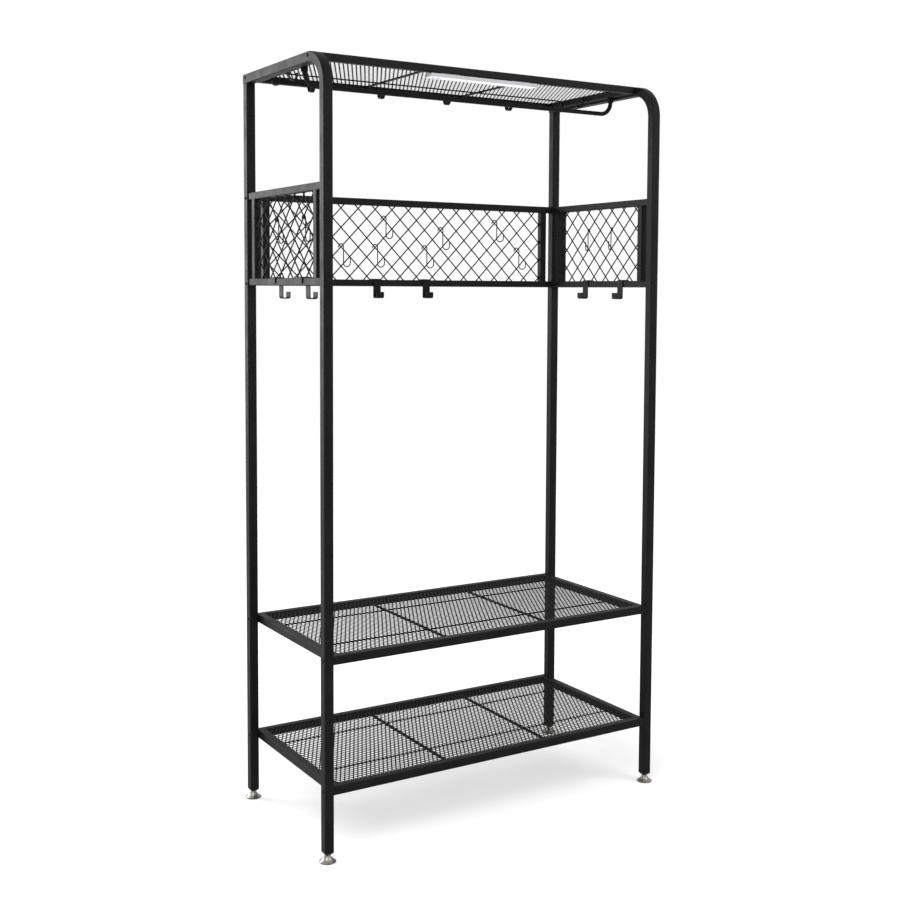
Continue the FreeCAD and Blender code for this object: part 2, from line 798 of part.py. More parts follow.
def square_insert(tube_side, bore_offset):
    """Threaded block along +X that fills the end of a rail, flush with its end."""
    side = tube_side - 2 * value("frame_wall") - 2 * value("insert_fit")
    length = value("insert_length")
    body = Part.makeBox(length, side, side, Vector(0, -side / 2, -side / 2))
    bore = Part.makeCylinder(
        value("bolt_radius") + value("bolt_fit"), length, Vector(0, 0, bore_offset), Vector(1, 0, 0)
    )
    return body.cut(bore)


half_width = value("rack_width") / 2
half_depth = value("rack_depth") / 2
post = value("post_size")
stagger = value("bolt_stagger")
rail_levels = (
    value("panel_bottom") + value("panel_tube") / 2,
    value("panel_bottom") + value("panel_height") - value("panel_tube") / 2,
)
inward = {sign: Rotation(Vector(0, 0, 1), 0 if sign < 0 else 180) for sign in (-1, 1)}
lengthwise = {sign: Rotation(Vector(0, 0, 1), -sign * 90) for sign in (-1, 1)}
bolts = []
inserts = []


def fasten(seat, insert):
    screw = bolt()
    screw.Placement = seat
    bolts.append(screw)
    insert.Placement = seat.multiply(insert.Placement)
    inserts.append(insert)


def seated(shape, depth, rise=0):
    """Shape moved in along the bolt from the head, and down from the bolt's line."""
    shape.Placement = Placement(Vector(depth, 0, -rise), Rotation())
    return shape


for corner, side_x, side_y in corners:
    for name in shelf_levels:
        level = value(f"{name}_shelf_bottom") + value("shelf_tube") / 2
        seat = Placement(Vector(side_x * half_width, side_y * post_row, level), inward[side_x])
        fasten(seat, seated(square_insert(value("shelf_tube"), 0), post))
    for level in rail_levels:
        if side_y > 0:
            seat = Placement(Vector(side_x * half_width, side_y * post_row, level - stagger), inward[side_x])
            fasten(seat, seated(square_insert(value("panel_tube"), -stagger), post, -stagger))
        head_place = Vector(side_x * post_column, side_y * half_depth, level + stagger)
        seat = Placement(head_place, lengthwise[side_y])
        fasten(seat, seated(square_insert(value("panel_tube"), stagger), post, stagger))
for side, sign in sides:
    for row in (top_row, post_row):
        seat = Placement(Vector(sign * half_width, row, frame_top - value("top_tube") / 2), inward[sign])
        fasten(seat, seated(square_insert(value("top_tube"), 0), post))
solid_node("frame_bolts", Part.makeCompound(bolts))
solid_node("threaded_inserts", Part.makeCompound(inserts))

# Light bar: shallow housing held by magnets under the front rail of the top shelf


def rounded_slab(length, depth, height, corner):
    """Flat slab with rounded corners, its middle above the origin."""
    base = Part.makeBox(length, depth, height, Vector(-length / 2, -depth / 2, 0))
    uprights = [edge for edge in base.Edges if abs(edge.tangentAt(edge.FirstParameter).z) > abs(
        edge.tangentAt(edge.FirstParameter).x) + abs(edge.tangentAt(edge.FirstParameter).y)]
    return base.makeFillet(corner, uprights)


def drop(shape, at_x, at_y, low):
    shape.Placement = Placement(Vector(at_x, at_y, low), Rotation())
    return shape


light_x = value("light_shift")
light_y = -half_depth + value("top_setback") + value("light_front_gap") + value("light_depth") / 2
light_top = frame_underside - value("magnet_thickness")
light_low = light_top - value("light_height")
wall = value("light_wall")
sensor_x = light_x - value("light_length") / 2 + value("sensor_inset")
button_x = light_x - value("light_length") / 2 + value("button_inset")
cavity_top = light_top - wall

housing = drop(
    rounded_slab(value("light_length"), value("light_depth"), value("light_height"), value("light_corner")),
    light_x, light_y, light_low,
)
cavity = drop(
    rounded_slab(
        value("light_length") - 2 * wall, value("light_depth") - 2 * wall, value("light_height") - wall,
        value("light_corner") - wall,
    ),
    light_x, light_y, light_low,
)
solid_node("light_housing", housing.cut(cavity))

lens_fit = 2 * (wall + value("diffuser_fit"))
lens = drop(
    rounded_slab(
        value("light_length") - lens_fit, value("light_depth") - lens_fit, value("diffuser_thickness"),
        value("light_corner") - lens_fit / 2,
    ),
    light_x, light_y, light_low,
)
for hole_x, radius in ((sensor_x, value("sensor_radius")), (button_x, value("button_radius"))):
    hole = Part.makeCylinder(
        radius + value("light_hole_fit"), value("diffuser_thickness"), Vector(hole_x, light_y, light_low)
    )
    lens = lens.cut(hole)
solid_node("light_diffuser", lens)

lens_top = light_low + value("diffuser_thickness")
board_x = light_x + value("light_length") / 2 - wall - value("battery_gap") - value("board_length") / 2
board_low = cavity_top - value("board_thickness")
board = Part.makeBox(
    value("board_length"), value("board_depth"), value("board_thickness"),
    Vector(board_x - value("board_length") / 2, light_y - value("board_depth") / 2, board_low),
)
switch_low = lens_top + value("button_flange") + value("button_travel") + value("switch_gap")
switch = Part.makeBox(
    value("switch_side"), value("switch_side"), cavity_top - switch_low,
    Vector(button_x - value("switch_side") / 2, light_y - value("switch_side") / 2, switch_low),
)
solid_node("light_board", Part.makeCompound([board, switch]))
battery_end = board_x - value("board_length") / 2 - value("battery_gap")
solid_node(
    "light_battery",
    Part.makeBox(
        value("battery_length"), value("battery_depth"), value("battery_thickness"),
        Vector(battery_end - value("battery_length"), light_y - value("battery_depth") / 2,
               cavity_top - value("battery_thickness")),
    ),
)

sensor_base = Part.makeCylinder(
    value("sensor_radius"), cavity_top - light_low, Vector(sensor_x, light_y, light_low)
)
sensor_dome = Part.makeSphere(value("sensor_radius"), Vector(sensor_x, light_y, light_low))
solid_node("light_sensor", sensor_base.fuse(sensor_dome).removeSplitter())

button_low = light_low - value("button_proud")
button_cap = Part.makeCylinder(
    value("button_radius"), lens_top - button_low, Vector(button_x, light_y, button_low)
)
button_rim = Part.makeCylinder(
    value("button_radius") + value("light_hole_fit") + value("button_flange"), value("button_flange"),
    Vector(button_x, light_y, lens_top),
)
solid_node("light_button", button_cap.fuse(button_rim).removeSplitter())

rail_middle = -half_depth + value("top_setback") + value("top_tube") / 2
magnets = [
    Part.makeBox(
        value("magnet_length"), value("magnet_depth"), value("magnet_thickness"),
        Vector(
            light_x + sign * value("magnet_spacing") / 2 - value("magnet_length") / 2,
            rail_middle - value("magnet_depth") / 2,
            light_top,
        ),
    )
    for _, sign in sides
]
solid_node("light_magnets", Part.makeCompound(magnets))

# Feet: a plug in each post with a threaded bore, and a bell foot on a stem that screws into it

stem_bore = value("stem_radius") + value("stem_fit")
plug_side = post - 2 * value("post_wall") - 2 * value("plug_fit")


def leg_plug():
    """Plug with the bottom end of the post at zero."""
    insert = Part.makeBox(
        plug_side, plug_side, value("plug_insert"), Vector(-plug_side / 2, -plug_side / 2, 0)
    )
    square = Part.makePolygon(
        [Vector(a * post / 2, b * post / 2, 0) for a, b in ((-1, -1), (1, -1), (1, 1), (-1, 1), (-1, -1))]
    )
    tip = value("plug_tip_radius")
    small = Part.makePolygon(
        [
            Vector(a * tip, b * tip, -value("plug_collar"))
            for a, b in ((-1, -1), (1, -1), (1, 1), (-1, 1), (-1, -1))
        ]
    )
    collar = Part.makeLoft([square, small], True, True)
    bore = Part.makeCylinder(
        stem_bore, value("plug_insert") + value("plug_collar"), Vector(0, 0, -value("plug_collar"))
    )
    return insert.fuse(collar).removeSplitter().cut(bore)


def levelling_foot():
    """Bell foot and stem turned about Z, standing on the floor."""
    rim = value("foot_rim")
    bell = value("foot_bell_height")
    neck = value("foot_neck_radius")
    foot = value("foot_radius")
    stem = value("stem_radius")
    stem_top = value("post_bottom") + value("plug_insert") - value("stem_seat_gap")
    waist = Vector(neck, 0, bell)
    flare = Vector(foot, 0, rim)
    sag = (waist + flare) / 2
    curve = Vector(neck - foot, 0, bell - rim)
    depth = curve.Length * curve.Length / (8 * value("foot_curve"))
    hollow = Vector(-curve.z, 0, curve.x).normalize() * depth
    edges = [
        Part.LineSegment(Vector(), Vector(foot, 0, 0)).toShape(),
        Part.LineSegment(Vector(foot, 0, 0), flare).toShape(),
        Part.Arc(flare, sag + hollow, waist).toShape(),
        Part.LineSegment(waist, Vector(stem, 0, bell)).toShape(),
        Part.LineSegment(Vector(stem, 0, bell), Vector(stem, 0, stem_top)).toShape(),
        Part.LineSegment(Vector(stem, 0, stem_top), Vector(0, 0, stem_top)).toShape(),
        Part.LineSegment(Vector(0, 0, stem_top), Vector()).toShape(),
    ]
    return Part.Face(Part.Wire(edges)).revolve(Vector(), Vector(0, 0, 1), 360)


plugs = []
for corner, side_x, side_y in corners:
    under_post = Vector(side_x * post_column, side_y * post_row, 0)
    plug = leg_plug()
    plug.Placement = Placement(under_post + Vector(0, 0, value("post_bottom")), Rotation())
    plugs.append(plug)
    foot = solid_node(f"{corner}_foot", levelling_foot())
    foot.Placement = Placement(under_post, Rotation())
solid_node("leg_plugs", Part.makeCompound(plugs))

# Every piece is checked before any file is written

doc.recompute()
for piece in doc.Objects:
    if "Invalid" in piece.State or "Error" in piece.State:
        raise RuntimeError(f"{piece.Label} failed: {piece.State}")
for piece in nodes:
    shape = piece.Shape
    if shape.isNull() or not shape.isValid():
        raise RuntimeError(f"{piece.Label} has no valid shape")
    if not shape.Solids or min(solid.Volume for solid in shape.Solids) <= 0:
        raise RuntimeError(f"{piece.Label} holds no solid")

os.makedirs("parts", exist_ok=True)
for piece in nodes:
    piece.Shape.exportStep(f"parts/{piece.Label}.step")
    print(piece.Label, len(piece.Shape.Solids), round(piece.Shape.Volume))
print(len(nodes), "nodes")
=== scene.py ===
import math

import bpy
from mathutils import Matrix, Vector


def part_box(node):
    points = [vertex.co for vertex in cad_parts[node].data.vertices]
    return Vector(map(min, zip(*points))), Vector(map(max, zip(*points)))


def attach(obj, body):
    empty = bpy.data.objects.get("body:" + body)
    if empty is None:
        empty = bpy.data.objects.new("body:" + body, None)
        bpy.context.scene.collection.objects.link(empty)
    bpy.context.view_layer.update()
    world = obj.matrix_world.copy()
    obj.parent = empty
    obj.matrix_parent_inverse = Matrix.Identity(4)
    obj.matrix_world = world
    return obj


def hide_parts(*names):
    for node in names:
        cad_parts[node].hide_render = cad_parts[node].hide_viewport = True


# Entryway storage rack: the finished look of every piece, in metres, in the same frame as its solids.
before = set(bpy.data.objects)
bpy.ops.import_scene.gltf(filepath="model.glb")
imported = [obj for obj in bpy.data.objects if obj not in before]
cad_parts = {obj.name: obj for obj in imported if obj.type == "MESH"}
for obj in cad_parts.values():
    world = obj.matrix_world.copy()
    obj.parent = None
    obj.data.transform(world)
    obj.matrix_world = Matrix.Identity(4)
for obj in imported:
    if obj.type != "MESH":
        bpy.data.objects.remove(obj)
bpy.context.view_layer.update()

# Posts and top rails
# Square steel tube with small rounded corners, sawn to length and joined over hidden sleeves.
# The front posts' upper lengths are bent backwards at the top; all are powder coated black.

POST_SIDE = 0.025
POST_WALL = 0.0015
POST_CORNER = 0.0026
POST_BEND = 0.0775
POST_BEND_STEPS = 18
SEAM_GAP = 0.0002
CORNERS = ("front_left", "front_right", "rear_left", "rear_right")
SIDES = ("left", "right")
COAT_DEEP = (0.0032, 0.0032, 0.0034, 1)
COAT_PALE = (0.0065, 0.0065, 0.0069, 1)
PATCH_DETAIL = 5.0
PATCH_SPREAD = (0.35, 0.65)
GLOSS_SPREAD = (0.3, 0.7)
GRAIN_DETAIL = 2.0
GRAIN_STRENGTH = 0.35
CORNER_STEPS = 4
SHARP_ANGLE = math.radians(40)
FLAT_FACE = 0.9998


def add(tree, kind, feeds, **settings):
    """New node whose inputs are fed by sockets or set to values."""
    made = tree.nodes.new(kind)
    for key, setting in settings.items():
        setattr(made, key, setting)
    for socket, feed in feeds.items():
        if isinstance(feed, bpy.types.NodeSocket):
            tree.links.new(feed, made.inputs[socket])
        else:
            made.inputs[socket].default_value = feed
    return made


def cloudy_finish(name, deep, pale, patch, smooth, rough, grain, depth, **fixed):
    """Finish with soft patches of colour and gloss of one size and a fine grain of another."""
    material = bpy.data.materials.new(name)
    material.use_nodes = True
    tree = material.node_tree
    shader = tree.nodes["Principled BSDF"]
    place = add(tree, "ShaderNodeTexCoord", {}).outputs["Object"]
    patches = add(tree, "ShaderNodeTexNoise", {
        "Vector": place, "Scale": 1 / patch, "Detail": PATCH_DETAIL,
    })
    colours = add(tree, "ShaderNodeValToRGB", {"Fac": patches.outputs["Fac"]})
    for stop, position, colour in zip(colours.color_ramp.elements, PATCH_SPREAD, (deep, pale)):
        stop.position = position
        stop.color = colour
    grains = add(tree, "ShaderNodeTexNoise", {
        "Vector": place, "Scale": 1 / grain, "Detail": GRAIN_DETAIL,
    })
    gloss = add(tree, "ShaderNodeMapRange", {
        "Value": patches.outputs["Fac"], "From Min": GLOSS_SPREAD[0], "From Max": GLOSS_SPREAD[1],
        "To Min": smooth, "To Max": rough,
    })
    bump = add(tree, "ShaderNodeBump", {
        "Height": grains.outputs["Fac"], "Strength": GRAIN_STRENGTH, "Distance": depth,
    })
    tree.links.new(colours.outputs["Color"], shader.inputs["Base Color"])
    tree.links.new(gloss.outputs["Result"], shader.inputs["Roughness"])
    tree.links.new(bump.outputs["Normal"], shader.inputs["Normal"])
    for socket, amount in fixed.items():
        shader.inputs[socket.replace("_", " ")].default_value = amount
    return material


powder_coat = cloudy_finish(
    "powder_coat", COAT_DEEP, COAT_PALE,
    patch=0.045, smooth=0.44, rough=0.56, grain=0.0006, depth=0.00010, Specular_IOR_Level=0.08,
)


def new_tree(name, inputs):
    """Empty geometry tree with named inputs, its entry and its exit."""
    tree = bpy.data.node_groups.new(name, "GeometryNodeTree")
    tree.interface.new_socket("Geometry", in_out="INPUT", socket_type="NodeSocketGeometry")
    for label, kind in inputs:
        tree.interface.new_socket(label, in_out="INPUT", socket_type=f"NodeSocket{kind}")
    tree.interface.new_socket("Geometry", in_out="OUTPUT", socket_type="NodeSocketGeometry")
    return tree, tree.nodes.new("NodeGroupInput").outputs, tree.nodes.new("NodeGroupOutput").inputs


def close_tree(tree, leave, shape, finish):
    """Ends a tree with real geometry in one finish."""
    real = add(tree, "GeometryNodeRealizeInstances", {"Geometry": shape})
    coated = add(tree, "GeometryNodeSetMaterial", {
        "Geometry": real.outputs["Geometry"], "Material": finish,
    })
    tree.links.new(coated.outputs["Geometry"], leave["Geometry"])


def bent_path(tree, entry):
    """Curve along the edges of a path mesh, with each corner rounded to the point's own bend."""
    runs = add(tree, "GeometryNodeMeshToCurve", {"Mesh": entry["Geometry"]})
    radius = add(tree, "GeometryNodeInputNamedAttribute", {"Name": "bend"}, data_type="FLOAT")
    return add(tree, "GeometryNodeFilletCurve", {
        "Curve": runs.outputs["Curve"], "Radius": radius.outputs["Attribute"],
        "Count": entry["Bend Steps"], "Limit Radius": True,
    }, mode="POLY").outputs["Curve"]


def square_stock_tree():
    """Tube or strip with rounded corners along a path."""
    tree, entry, leave = new_tree("square_stock", [
        ("Width", "Float"), ("Height", "Float"), ("Corner", "Float"), ("Bend Steps", "Int"),
        ("Closed Ends", "Bool"), ("Finish", "Material"),
    ])
    outline = add(tree, "GeometryNodeCurvePrimitiveQuadrilateral", {
        "Width": entry["Width"], "Height": entry["Height"],
    }, mode="RECTANGLE")
    section = add(tree, "GeometryNodeFilletCurve", {
        "Curve": outline.outputs["Curve"], "Radius": entry["Corner"], "Count": CORNER_STEPS,
    }, mode="POLY")
    body = add(tree, "GeometryNodeCurveToMesh", {
        "Curve": bent_path(tree, entry), "Profile Curve": section.outputs["Curve"],
        "Fill Caps": entry["Closed Ends"],
    })
    close_tree(tree, leave, body.outputs["Mesh"], entry["Finish"])
    return tree


square_stock = square_stock_tree()


def path_mesh(name, paths):
    """Edges along the middle of bent stock; each point carries the radius of its bend."""
    points = []
    edges = []
    bends = []
    for path in paths:
        first = len(points)
        for point, bend in path:
            points.append(point)
            bends.append(bend)
        edges += [(step, step + 1) for step in range(first, len(points) - 1)]
    mesh = bpy.data.meshes.new(name)
    mesh.from_pydata(points, edges, [])
    mesh.attributes.new("bend", "FLOAT", "POINT").data.foreach_set("value", bends)
    return mesh


def shade(mesh):
    """Flat faces stay flat, and only the rounded corners and bends between them are smoothed."""
    mesh.shade_smooth()
    mesh.set_sharp_from_angle(angle=SHARP_ANGLE)
    for face in mesh.polygons:
        face.use_smooth = max(abs(part) for part in face.normal) < FLAT_FACE


def grow(name, mesh, tree, inputs, wall=0.0):
    """Runs a tree over a mesh, with a wall for open tube, and keeps the result as a plain mesh."""
    piece = bpy.data.objects.new(name, mesh)
    bpy.context.scene.collection.objects.link(piece)
    maker = piece.modifiers.new("shape", "NODES")
    maker.node_group = tree
    for item in tree.interface.items_tree:
        if item.name in inputs:
            maker[item.identifier] = inputs[item.name]
    if wall:
        shell = piece.modifiers.new("wall", "SOLIDIFY")
        shell.thickness = wall
        shell.offset = -1
        shell.use_rim = True
    made = bpy.data.meshes.new_from_object(piece.evaluated_get(bpy.context.evaluated_depsgraph_get()))
    piece.modifiers.clear()
    piece.data = made
    piece.data.name = name
    shade(made)
    return piece


def stand_for(piece, node, body="rack"):
    """Finished piece in place of its solid, on the solid's body."""
    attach(piece, body)
    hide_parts(node)


def straight(*points):
    """Path with no bends."""
    return [(Vector(point), 0.0) for point in points]


POST_STOCK = {
    "Width": POST_SIDE, "Height": POST_SIDE, "Corner": POST_CORNER, "Bend Steps": POST_BEND_STEPS,
    "Closed Ends": False, "Finish": powder_coat,
}
for corner in CORNERS:
    low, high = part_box(f"{corner}_lower_post")
    middle = (low + high) / 2
    path = straight((middle.x, middle.y, low.z), (middle.x, middle.y, high.z - SEAM_GAP))
    post = grow(f"{corner}_lower_tube", path_mesh("path", [path]), square_stock, POST_STOCK, POST_WALL)
    stand_for(post, f"{corner}_lower_post")

    low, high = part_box(f"{corner}_upper_post")
    line_x = (low.x + high.x) / 2
    line_y = low.y + POST_SIDE / 2
    path = straight((line_x, line_y, low.z + SEAM_GAP), (line_x, line_y, high.z))
    if corner.startswith("front"):
        rail_z = high.z - POST_SIDE / 2
        path = [
            (Vector((line_x, line_y, low.z + SEAM_GAP)), 0.0),
            (Vector((line_x, line_y, rail_z)), POST_BEND),
            (Vector((line_x, high.y - SEAM_GAP, rail_z)), 0.0),
        ]
    post = grow(f"{corner}_upper_tube", path_mesh("path", [path]), square_stock, POST_STOCK, POST_WALL)
    stand_for(post, f"{corner}_upper_post")

for side in SIDES:
    low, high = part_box(f"{side}_top_rail")
    middle = (low + high) / 2
    path = straight((middle.x, low.y + SEAM_GAP, middle.z), (middle.x, high.y, middle.z))
    rail = grow(f"{side}_top_tube", path_mesh("path", [path]), square_stock, POST_STOCK, POST_WALL)
    stand_for(rail, f"{side}_top_rail")

# Splice sleeves
# Short lengths of bare zinc-plated tube inside each seam, a push fit in both ends.
# Only the thin line of each seam shows them.

zinc_plate = cloudy_finish(
    "zinc_plate", (0.13, 0.135, 0.145, 1), (0.21, 0.21, 0.205, 1),
    patch=0.006, smooth=0.42, rough=0.56, grain=0.0009, depth=0.00005, Metallic=1.0,
)


def refinish(node, finish):
    """New finish on a solid that keeps its own shape."""
    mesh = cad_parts[node].data
    mesh.materials.clear()
    mesh.materials.append(finish)


refinish("splice_sleeves", zinc_plate)

# Rail end caps
# Black moulded plastic caps, tapped into the open rear ends of the two top rails.
# Each has a soft-edged flange as large as the tube and a plug inside it.

CAP_FLANGE = 0.0025
CAP_EDGE = 0.0012
CAP_PLUG_HALF = 0.0108
CAP_PLUG_LENGTH = 0.008
EDGE_KNEE = 0.3

moulded_black = cloudy_finish(
    "moulded_black", (0.0060, 0.0060, 0.0064, 1), (0.0110, 0.0110, 0.0115, 1),
    patch=0.012, smooth=0.42, rough=0.56, grain=0.00035, depth=0.00008, Specular_IOR_Level=0.35,
)


def rounded_loop(half_a, half_b, corner, steps=8):
    """Points round a rectangle with rounded corners; a corner as large as the halves gives a circle."""
    points = []
    for quarter in range(4):
        turn = quarter * math.pi / 2
        side_a = 1 if quarter in (0, 3) else -1
        side_b = 1 if quarter in (0, 1) else -1
        for step in range(steps):
            angle = turn + (step + 0.5) / steps * math.pi / 2
            points.append((
                side_a * (half_a - corner) + corner * math.cos(angle),
                side_b * (half_b - corner) + corner * math.sin(angle),
            ))
    return points


def square_loop(half_side, corner):
    """Points round a square with rounded corners."""
    return rounded_loop(half_side, half_side, corner)


def round_loop(radius, steps=8):
    """Points round a circle, with so many steps in each quarter."""
    return rounded_loop(radius, radius, radius, steps)


def loft(layers, ring=False):
    """Skin over a stack of loops, each with its height; a ring joins the last to the first."""
    count = len(layers[0][0])
    points = [Vector((a, b, height)) for loop, height in layers for a, b in loop]
    faces = []
    steps = len(layers) if ring else len(layers) - 1
    for layer in range(steps):
        here = layer * count
        there = (layer + 1) % len(layers) * count
        for spot in range(count):
            after = (spot + 1) % count
            faces.append((here + spot, here + after, there + after, there + spot))
    if not ring:
        faces.append(tuple(reversed(range(count))))
        faces.append(tuple(range(len(points) - count, len(points))))
    return points, faces


def built(name, shapes, finish):
    """Plain mesh object from lofted shapes, each with its own place."""
    points = []
    faces = []
    for (shape_points, shape_faces), place in shapes:
        first = len(points)
        points += [place @ point for point in shape_points]
        faces += [tuple(first + corner for corner in face) for face in shape_faces]
    mesh = bpy.data.meshes.new(name)
    mesh.from_pydata(points, [], faces)
    mesh.materials.append(finish)
    shade(mesh)
    piece = bpy.data.objects.new(name, mesh)
    bpy.context.scene.collection.objects.link(piece)
    return piece


post_half = POST_SIDE / 2
cap_knee = EDGE_KNEE * CAP_EDGE
cap_shape = loft([
    (square_loop(CAP_PLUG_HALF - CAP_EDGE, POST_CORNER), -CAP_PLUG_LENGTH),
    (square_loop(CAP_PLUG_HALF, POST_CORNER), CAP_EDGE - CAP_PLUG_LENGTH),
    (square_loop(CAP_PLUG_HALF, POST_CORNER), 0.0),
    (square_loop(post_half, POST_CORNER), 0.0),
    (square_loop(post_half, POST_CORNER), CAP_FLANGE - CAP_EDGE),
    (square_loop(post_half - cap_knee, POST_CORNER), CAP_FLANGE - cap_knee),
    (square_loop(post_half - CAP_EDGE, POST_CORNER - CAP_EDGE), CAP_FLANGE),
])
facing_back = Matrix.Rotation(-math.pi / 2, 4, "X")
cap_seats = []
for side in SIDES:
    low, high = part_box(f"{side}_top_rail")
    seat = Vector(((low.x + high.x) / 2, high.y, (low.z + high.z) / 2))
    cap_seats.append((cap_shape, Matrix.Translation(seat) @ facing_back))
stand_for(built("rail_end_plugs", cap_seats, moulded_black), "rail_end_caps")

# Shelf frames
# Four lengths of smaller square tube butted and welded into a rectangle, coated like the posts.
# Two flat braces and two round rods are welded underneath to carry the mesh.

TOP_TUBE = 0.019
SHELF_TUBE = 0.022
FRAME_CORNER = 0.0022
MESH_DROP = 0.001
MESH_THICKNESS = 0.002
BRACE_WIDTH = 0.009
BRACE_HEIGHT = 0.004
BRACE_CORNER = 0.0006
BRACE_SHARE = 1 / 6
CROSS_ROD_RADIUS = 0.002
CROSS_ROD_ROW = 0.1188
WELD_BURY = 0.001
SHELVES = {"top": TOP_TUBE, "middle": SHELF_TUBE, "bottom": SHELF_TUBE}


def round_wire_tree():
    """Round bar or wire along a path."""
    tree, entry, leave = new_tree("round_wire", [
        ("Radius", "Float"), ("Sides", "Int"), ("Bend Steps", "Int"), ("Finish", "Material"),
    ])
    section = add(tree, "GeometryNodeCurvePrimitiveCircle", {
        "Resolution": entry["Sides"], "Radius": entry["Radius"],
    }, mode="RADIUS")
    body = add(tree, "GeometryNodeCurveToMesh", {
        "Curve": bent_path(tree, entry), "Profile Curve": section.outputs["Curve"], "Fill Caps": True,
    })
    close_tree(tree, leave, body.outputs["Mesh"], entry["Finish"])
    return tree


round_wire = round_wire_tree()


def joined(name, pieces):
    """One object from several that hold the same finish."""
    points = []
    faces = []
    for piece in pieces:
        first = len(points)
        points += [vertex.co.copy() for vertex in piece.data.vertices]
        faces += [tuple(first + corner for corner in face.vertices) for face in piece.data.polygons]
    finish = pieces[0].data.materials[0]
    for piece in pieces:
        bpy.data.objects.remove(piece)
    return built(name, [((points, faces), Matrix())], finish)


def shelf_frame(shelf, tube):
    """Welded frame of one shelf with its braces and rods, inside the box of its solid."""
    low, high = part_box(f"{shelf}_shelf_frame")
    level = high.z - tube / 2
    rails = [
        straight((low.x, row, level), (high.x, row, level)) for row in (low.y + tube / 2, high.y - tube / 2)
    ]
    members = [
        straight((column, low.y + tube - WELD_BURY, level), (column, high.y - tube + WELD_BURY, level))
        for column in (low.x + tube / 2, high.x - tube / 2)
    ]
    stock = {
        "Width": tube, "Height": tube, "Corner": FRAME_CORNER, "Bend Steps": 1, "Closed Ends": True,
        "Finish": powder_coat,
    }
    tubes = grow("tubes", path_mesh("path", rails + members), square_stock, stock)

    opening = high.x - low.x - 2 * tube
    brace_z = high.z - MESH_DROP - MESH_THICKNESS - BRACE_HEIGHT / 2
    braces = [
        straight(
            (sign * BRACE_SHARE * opening, low.y + tube - WELD_BURY, brace_z),
            (sign * BRACE_SHARE * opening, high.y - tube + WELD_BURY, brace_z),
        )
        for sign in (-1, 1)
    ]
    bar = dict(stock, Width=BRACE_WIDTH, Height=BRACE_HEIGHT, Corner=BRACE_CORNER)
    flats = grow("flats", path_mesh("path", braces), square_stock, bar)

    rod_z = brace_z - BRACE_HEIGHT / 2 - CROSS_ROD_RADIUS
    rods = [
        straight(
            (low.x + tube - WELD_BURY, sign * CROSS_ROD_ROW, rod_z),
            (high.x - tube + WELD_BURY, sign * CROSS_ROD_ROW, rod_z),
        )
        for sign in (-1, 1)
    ]
    wire = {"Radius": CROSS_ROD_RADIUS, "Sides": 12, "Bend Steps": 1, "Finish": powder_coat}
    bars = grow("bars", path_mesh("path", rods), round_wire, wire)
    return joined(f"{shelf}_shelf_tubes", [tubes, flats, bars])


for shelf, tube in SHELVES.items():
    stand_for(shelf_frame(shelf, tube), f"{shelf}_shelf_frame")

# Shelf meshes
# Expanded steel sheet: slit in staggered rows and pulled open, so every strand is twisted a little.
# It is cut to the frame's opening, tacked to the braces and coated with them.

CELL_WIDTH = 0.0123
CELL_LENGTH = 0.0236
STRAND_WIDTH = 0.0035
STRAND_THICKNESS = 0.00035
BOND_LENGTH = 0.0020
BOND_WIDTH = 0.0040
STRAND_TILT = math.radians(11.5)

mesh_coat = cloudy_finish(
    "mesh_coat", (0.0030, 0.0030, 0.0032, 1), (0.0060, 0.0060, 0.0063, 1),
    patch=0.03, smooth=0.52, rough=0.66, grain=0.0007, depth=0.00006, Specular_IOR_Level=0.05,
)


def flat_bar(start, end, width, thickness, tilt):
    """Small bar between two points, turned about its own line so that its right edge is the higher one."""
    upward = Vector((0, 0, 1))
    across = upward.cross(end - start).normalized()
    if across.x < 0:
        start, end = end, start
        across.negate()
    wide = (across * math.cos(tilt) + upward * math.sin(tilt)) * width / 2
    thick = (upward * math.cos(tilt) - across * math.sin(tilt)) * thickness / 2
    points = [end_point + a * wide + b * thick for end_point in (start, end)
              for a, b in ((-1, -1), (1, -1), (1, 1), (-1, 1))]
    faces = [(0, 1, 5, 4), (1, 2, 6, 5), (2, 3, 7, 6), (3, 0, 4, 7), (3, 2, 1, 0), (4, 5, 6, 7)]
    return points, faces


def mesh_cell(width, length):
    """One repeat of the mesh: four strands of a diamond and the two bonds that it owns."""
    reach = BOND_LENGTH / 2
    bars = []
    for side_x in (-1, 1):
        for side_y in (-1, 1):
            start = Vector((side_x * width / 2, side_y * reach, 0))
            end = Vector((0, side_y * (length / 2 - reach), 0))
            bars.append(flat_bar(start, end, STRAND_WIDTH, STRAND_THICKNESS, STRAND_TILT))
    for middle in (Vector((width / 2, 0, 0)), Vector((0, length / 2, 0))):
        span = Vector((0, reach + STRAND_WIDTH / 2, 0))
        bars.append(flat_bar(middle - span, middle + span, BOND_WIDTH, STRAND_THICKNESS, STRAND_TILT))
    return bars


def tile_tree():
    """Repeats a small shape in rows and columns."""
    tree, entry, leave = new_tree("expanded_mesh", [
        ("Columns", "Int"), ("Rows", "Int"), ("Span X", "Float"), ("Span Y", "Float"), ("Centre", "Vector"),
        ("Finish", "Material"),
    ])
    spots = add(tree, "GeometryNodeMeshGrid", {
        "Size X": entry["Span X"], "Size Y": entry["Span Y"],
        "Vertices X": entry["Columns"], "Vertices Y": entry["Rows"],
    })
    laid = add(tree, "GeometryNodeInstanceOnPoints", {
        "Points": spots.outputs["Mesh"], "Instance": entry["Geometry"],
    })
    placed = add(tree, "GeometryNodeTransform", {
        "Geometry": laid.outputs["Instances"], "Translation": entry["Centre"],
    })
    close_tree(tree, leave, placed.outputs["Geometry"], entry["Finish"])
    return tree


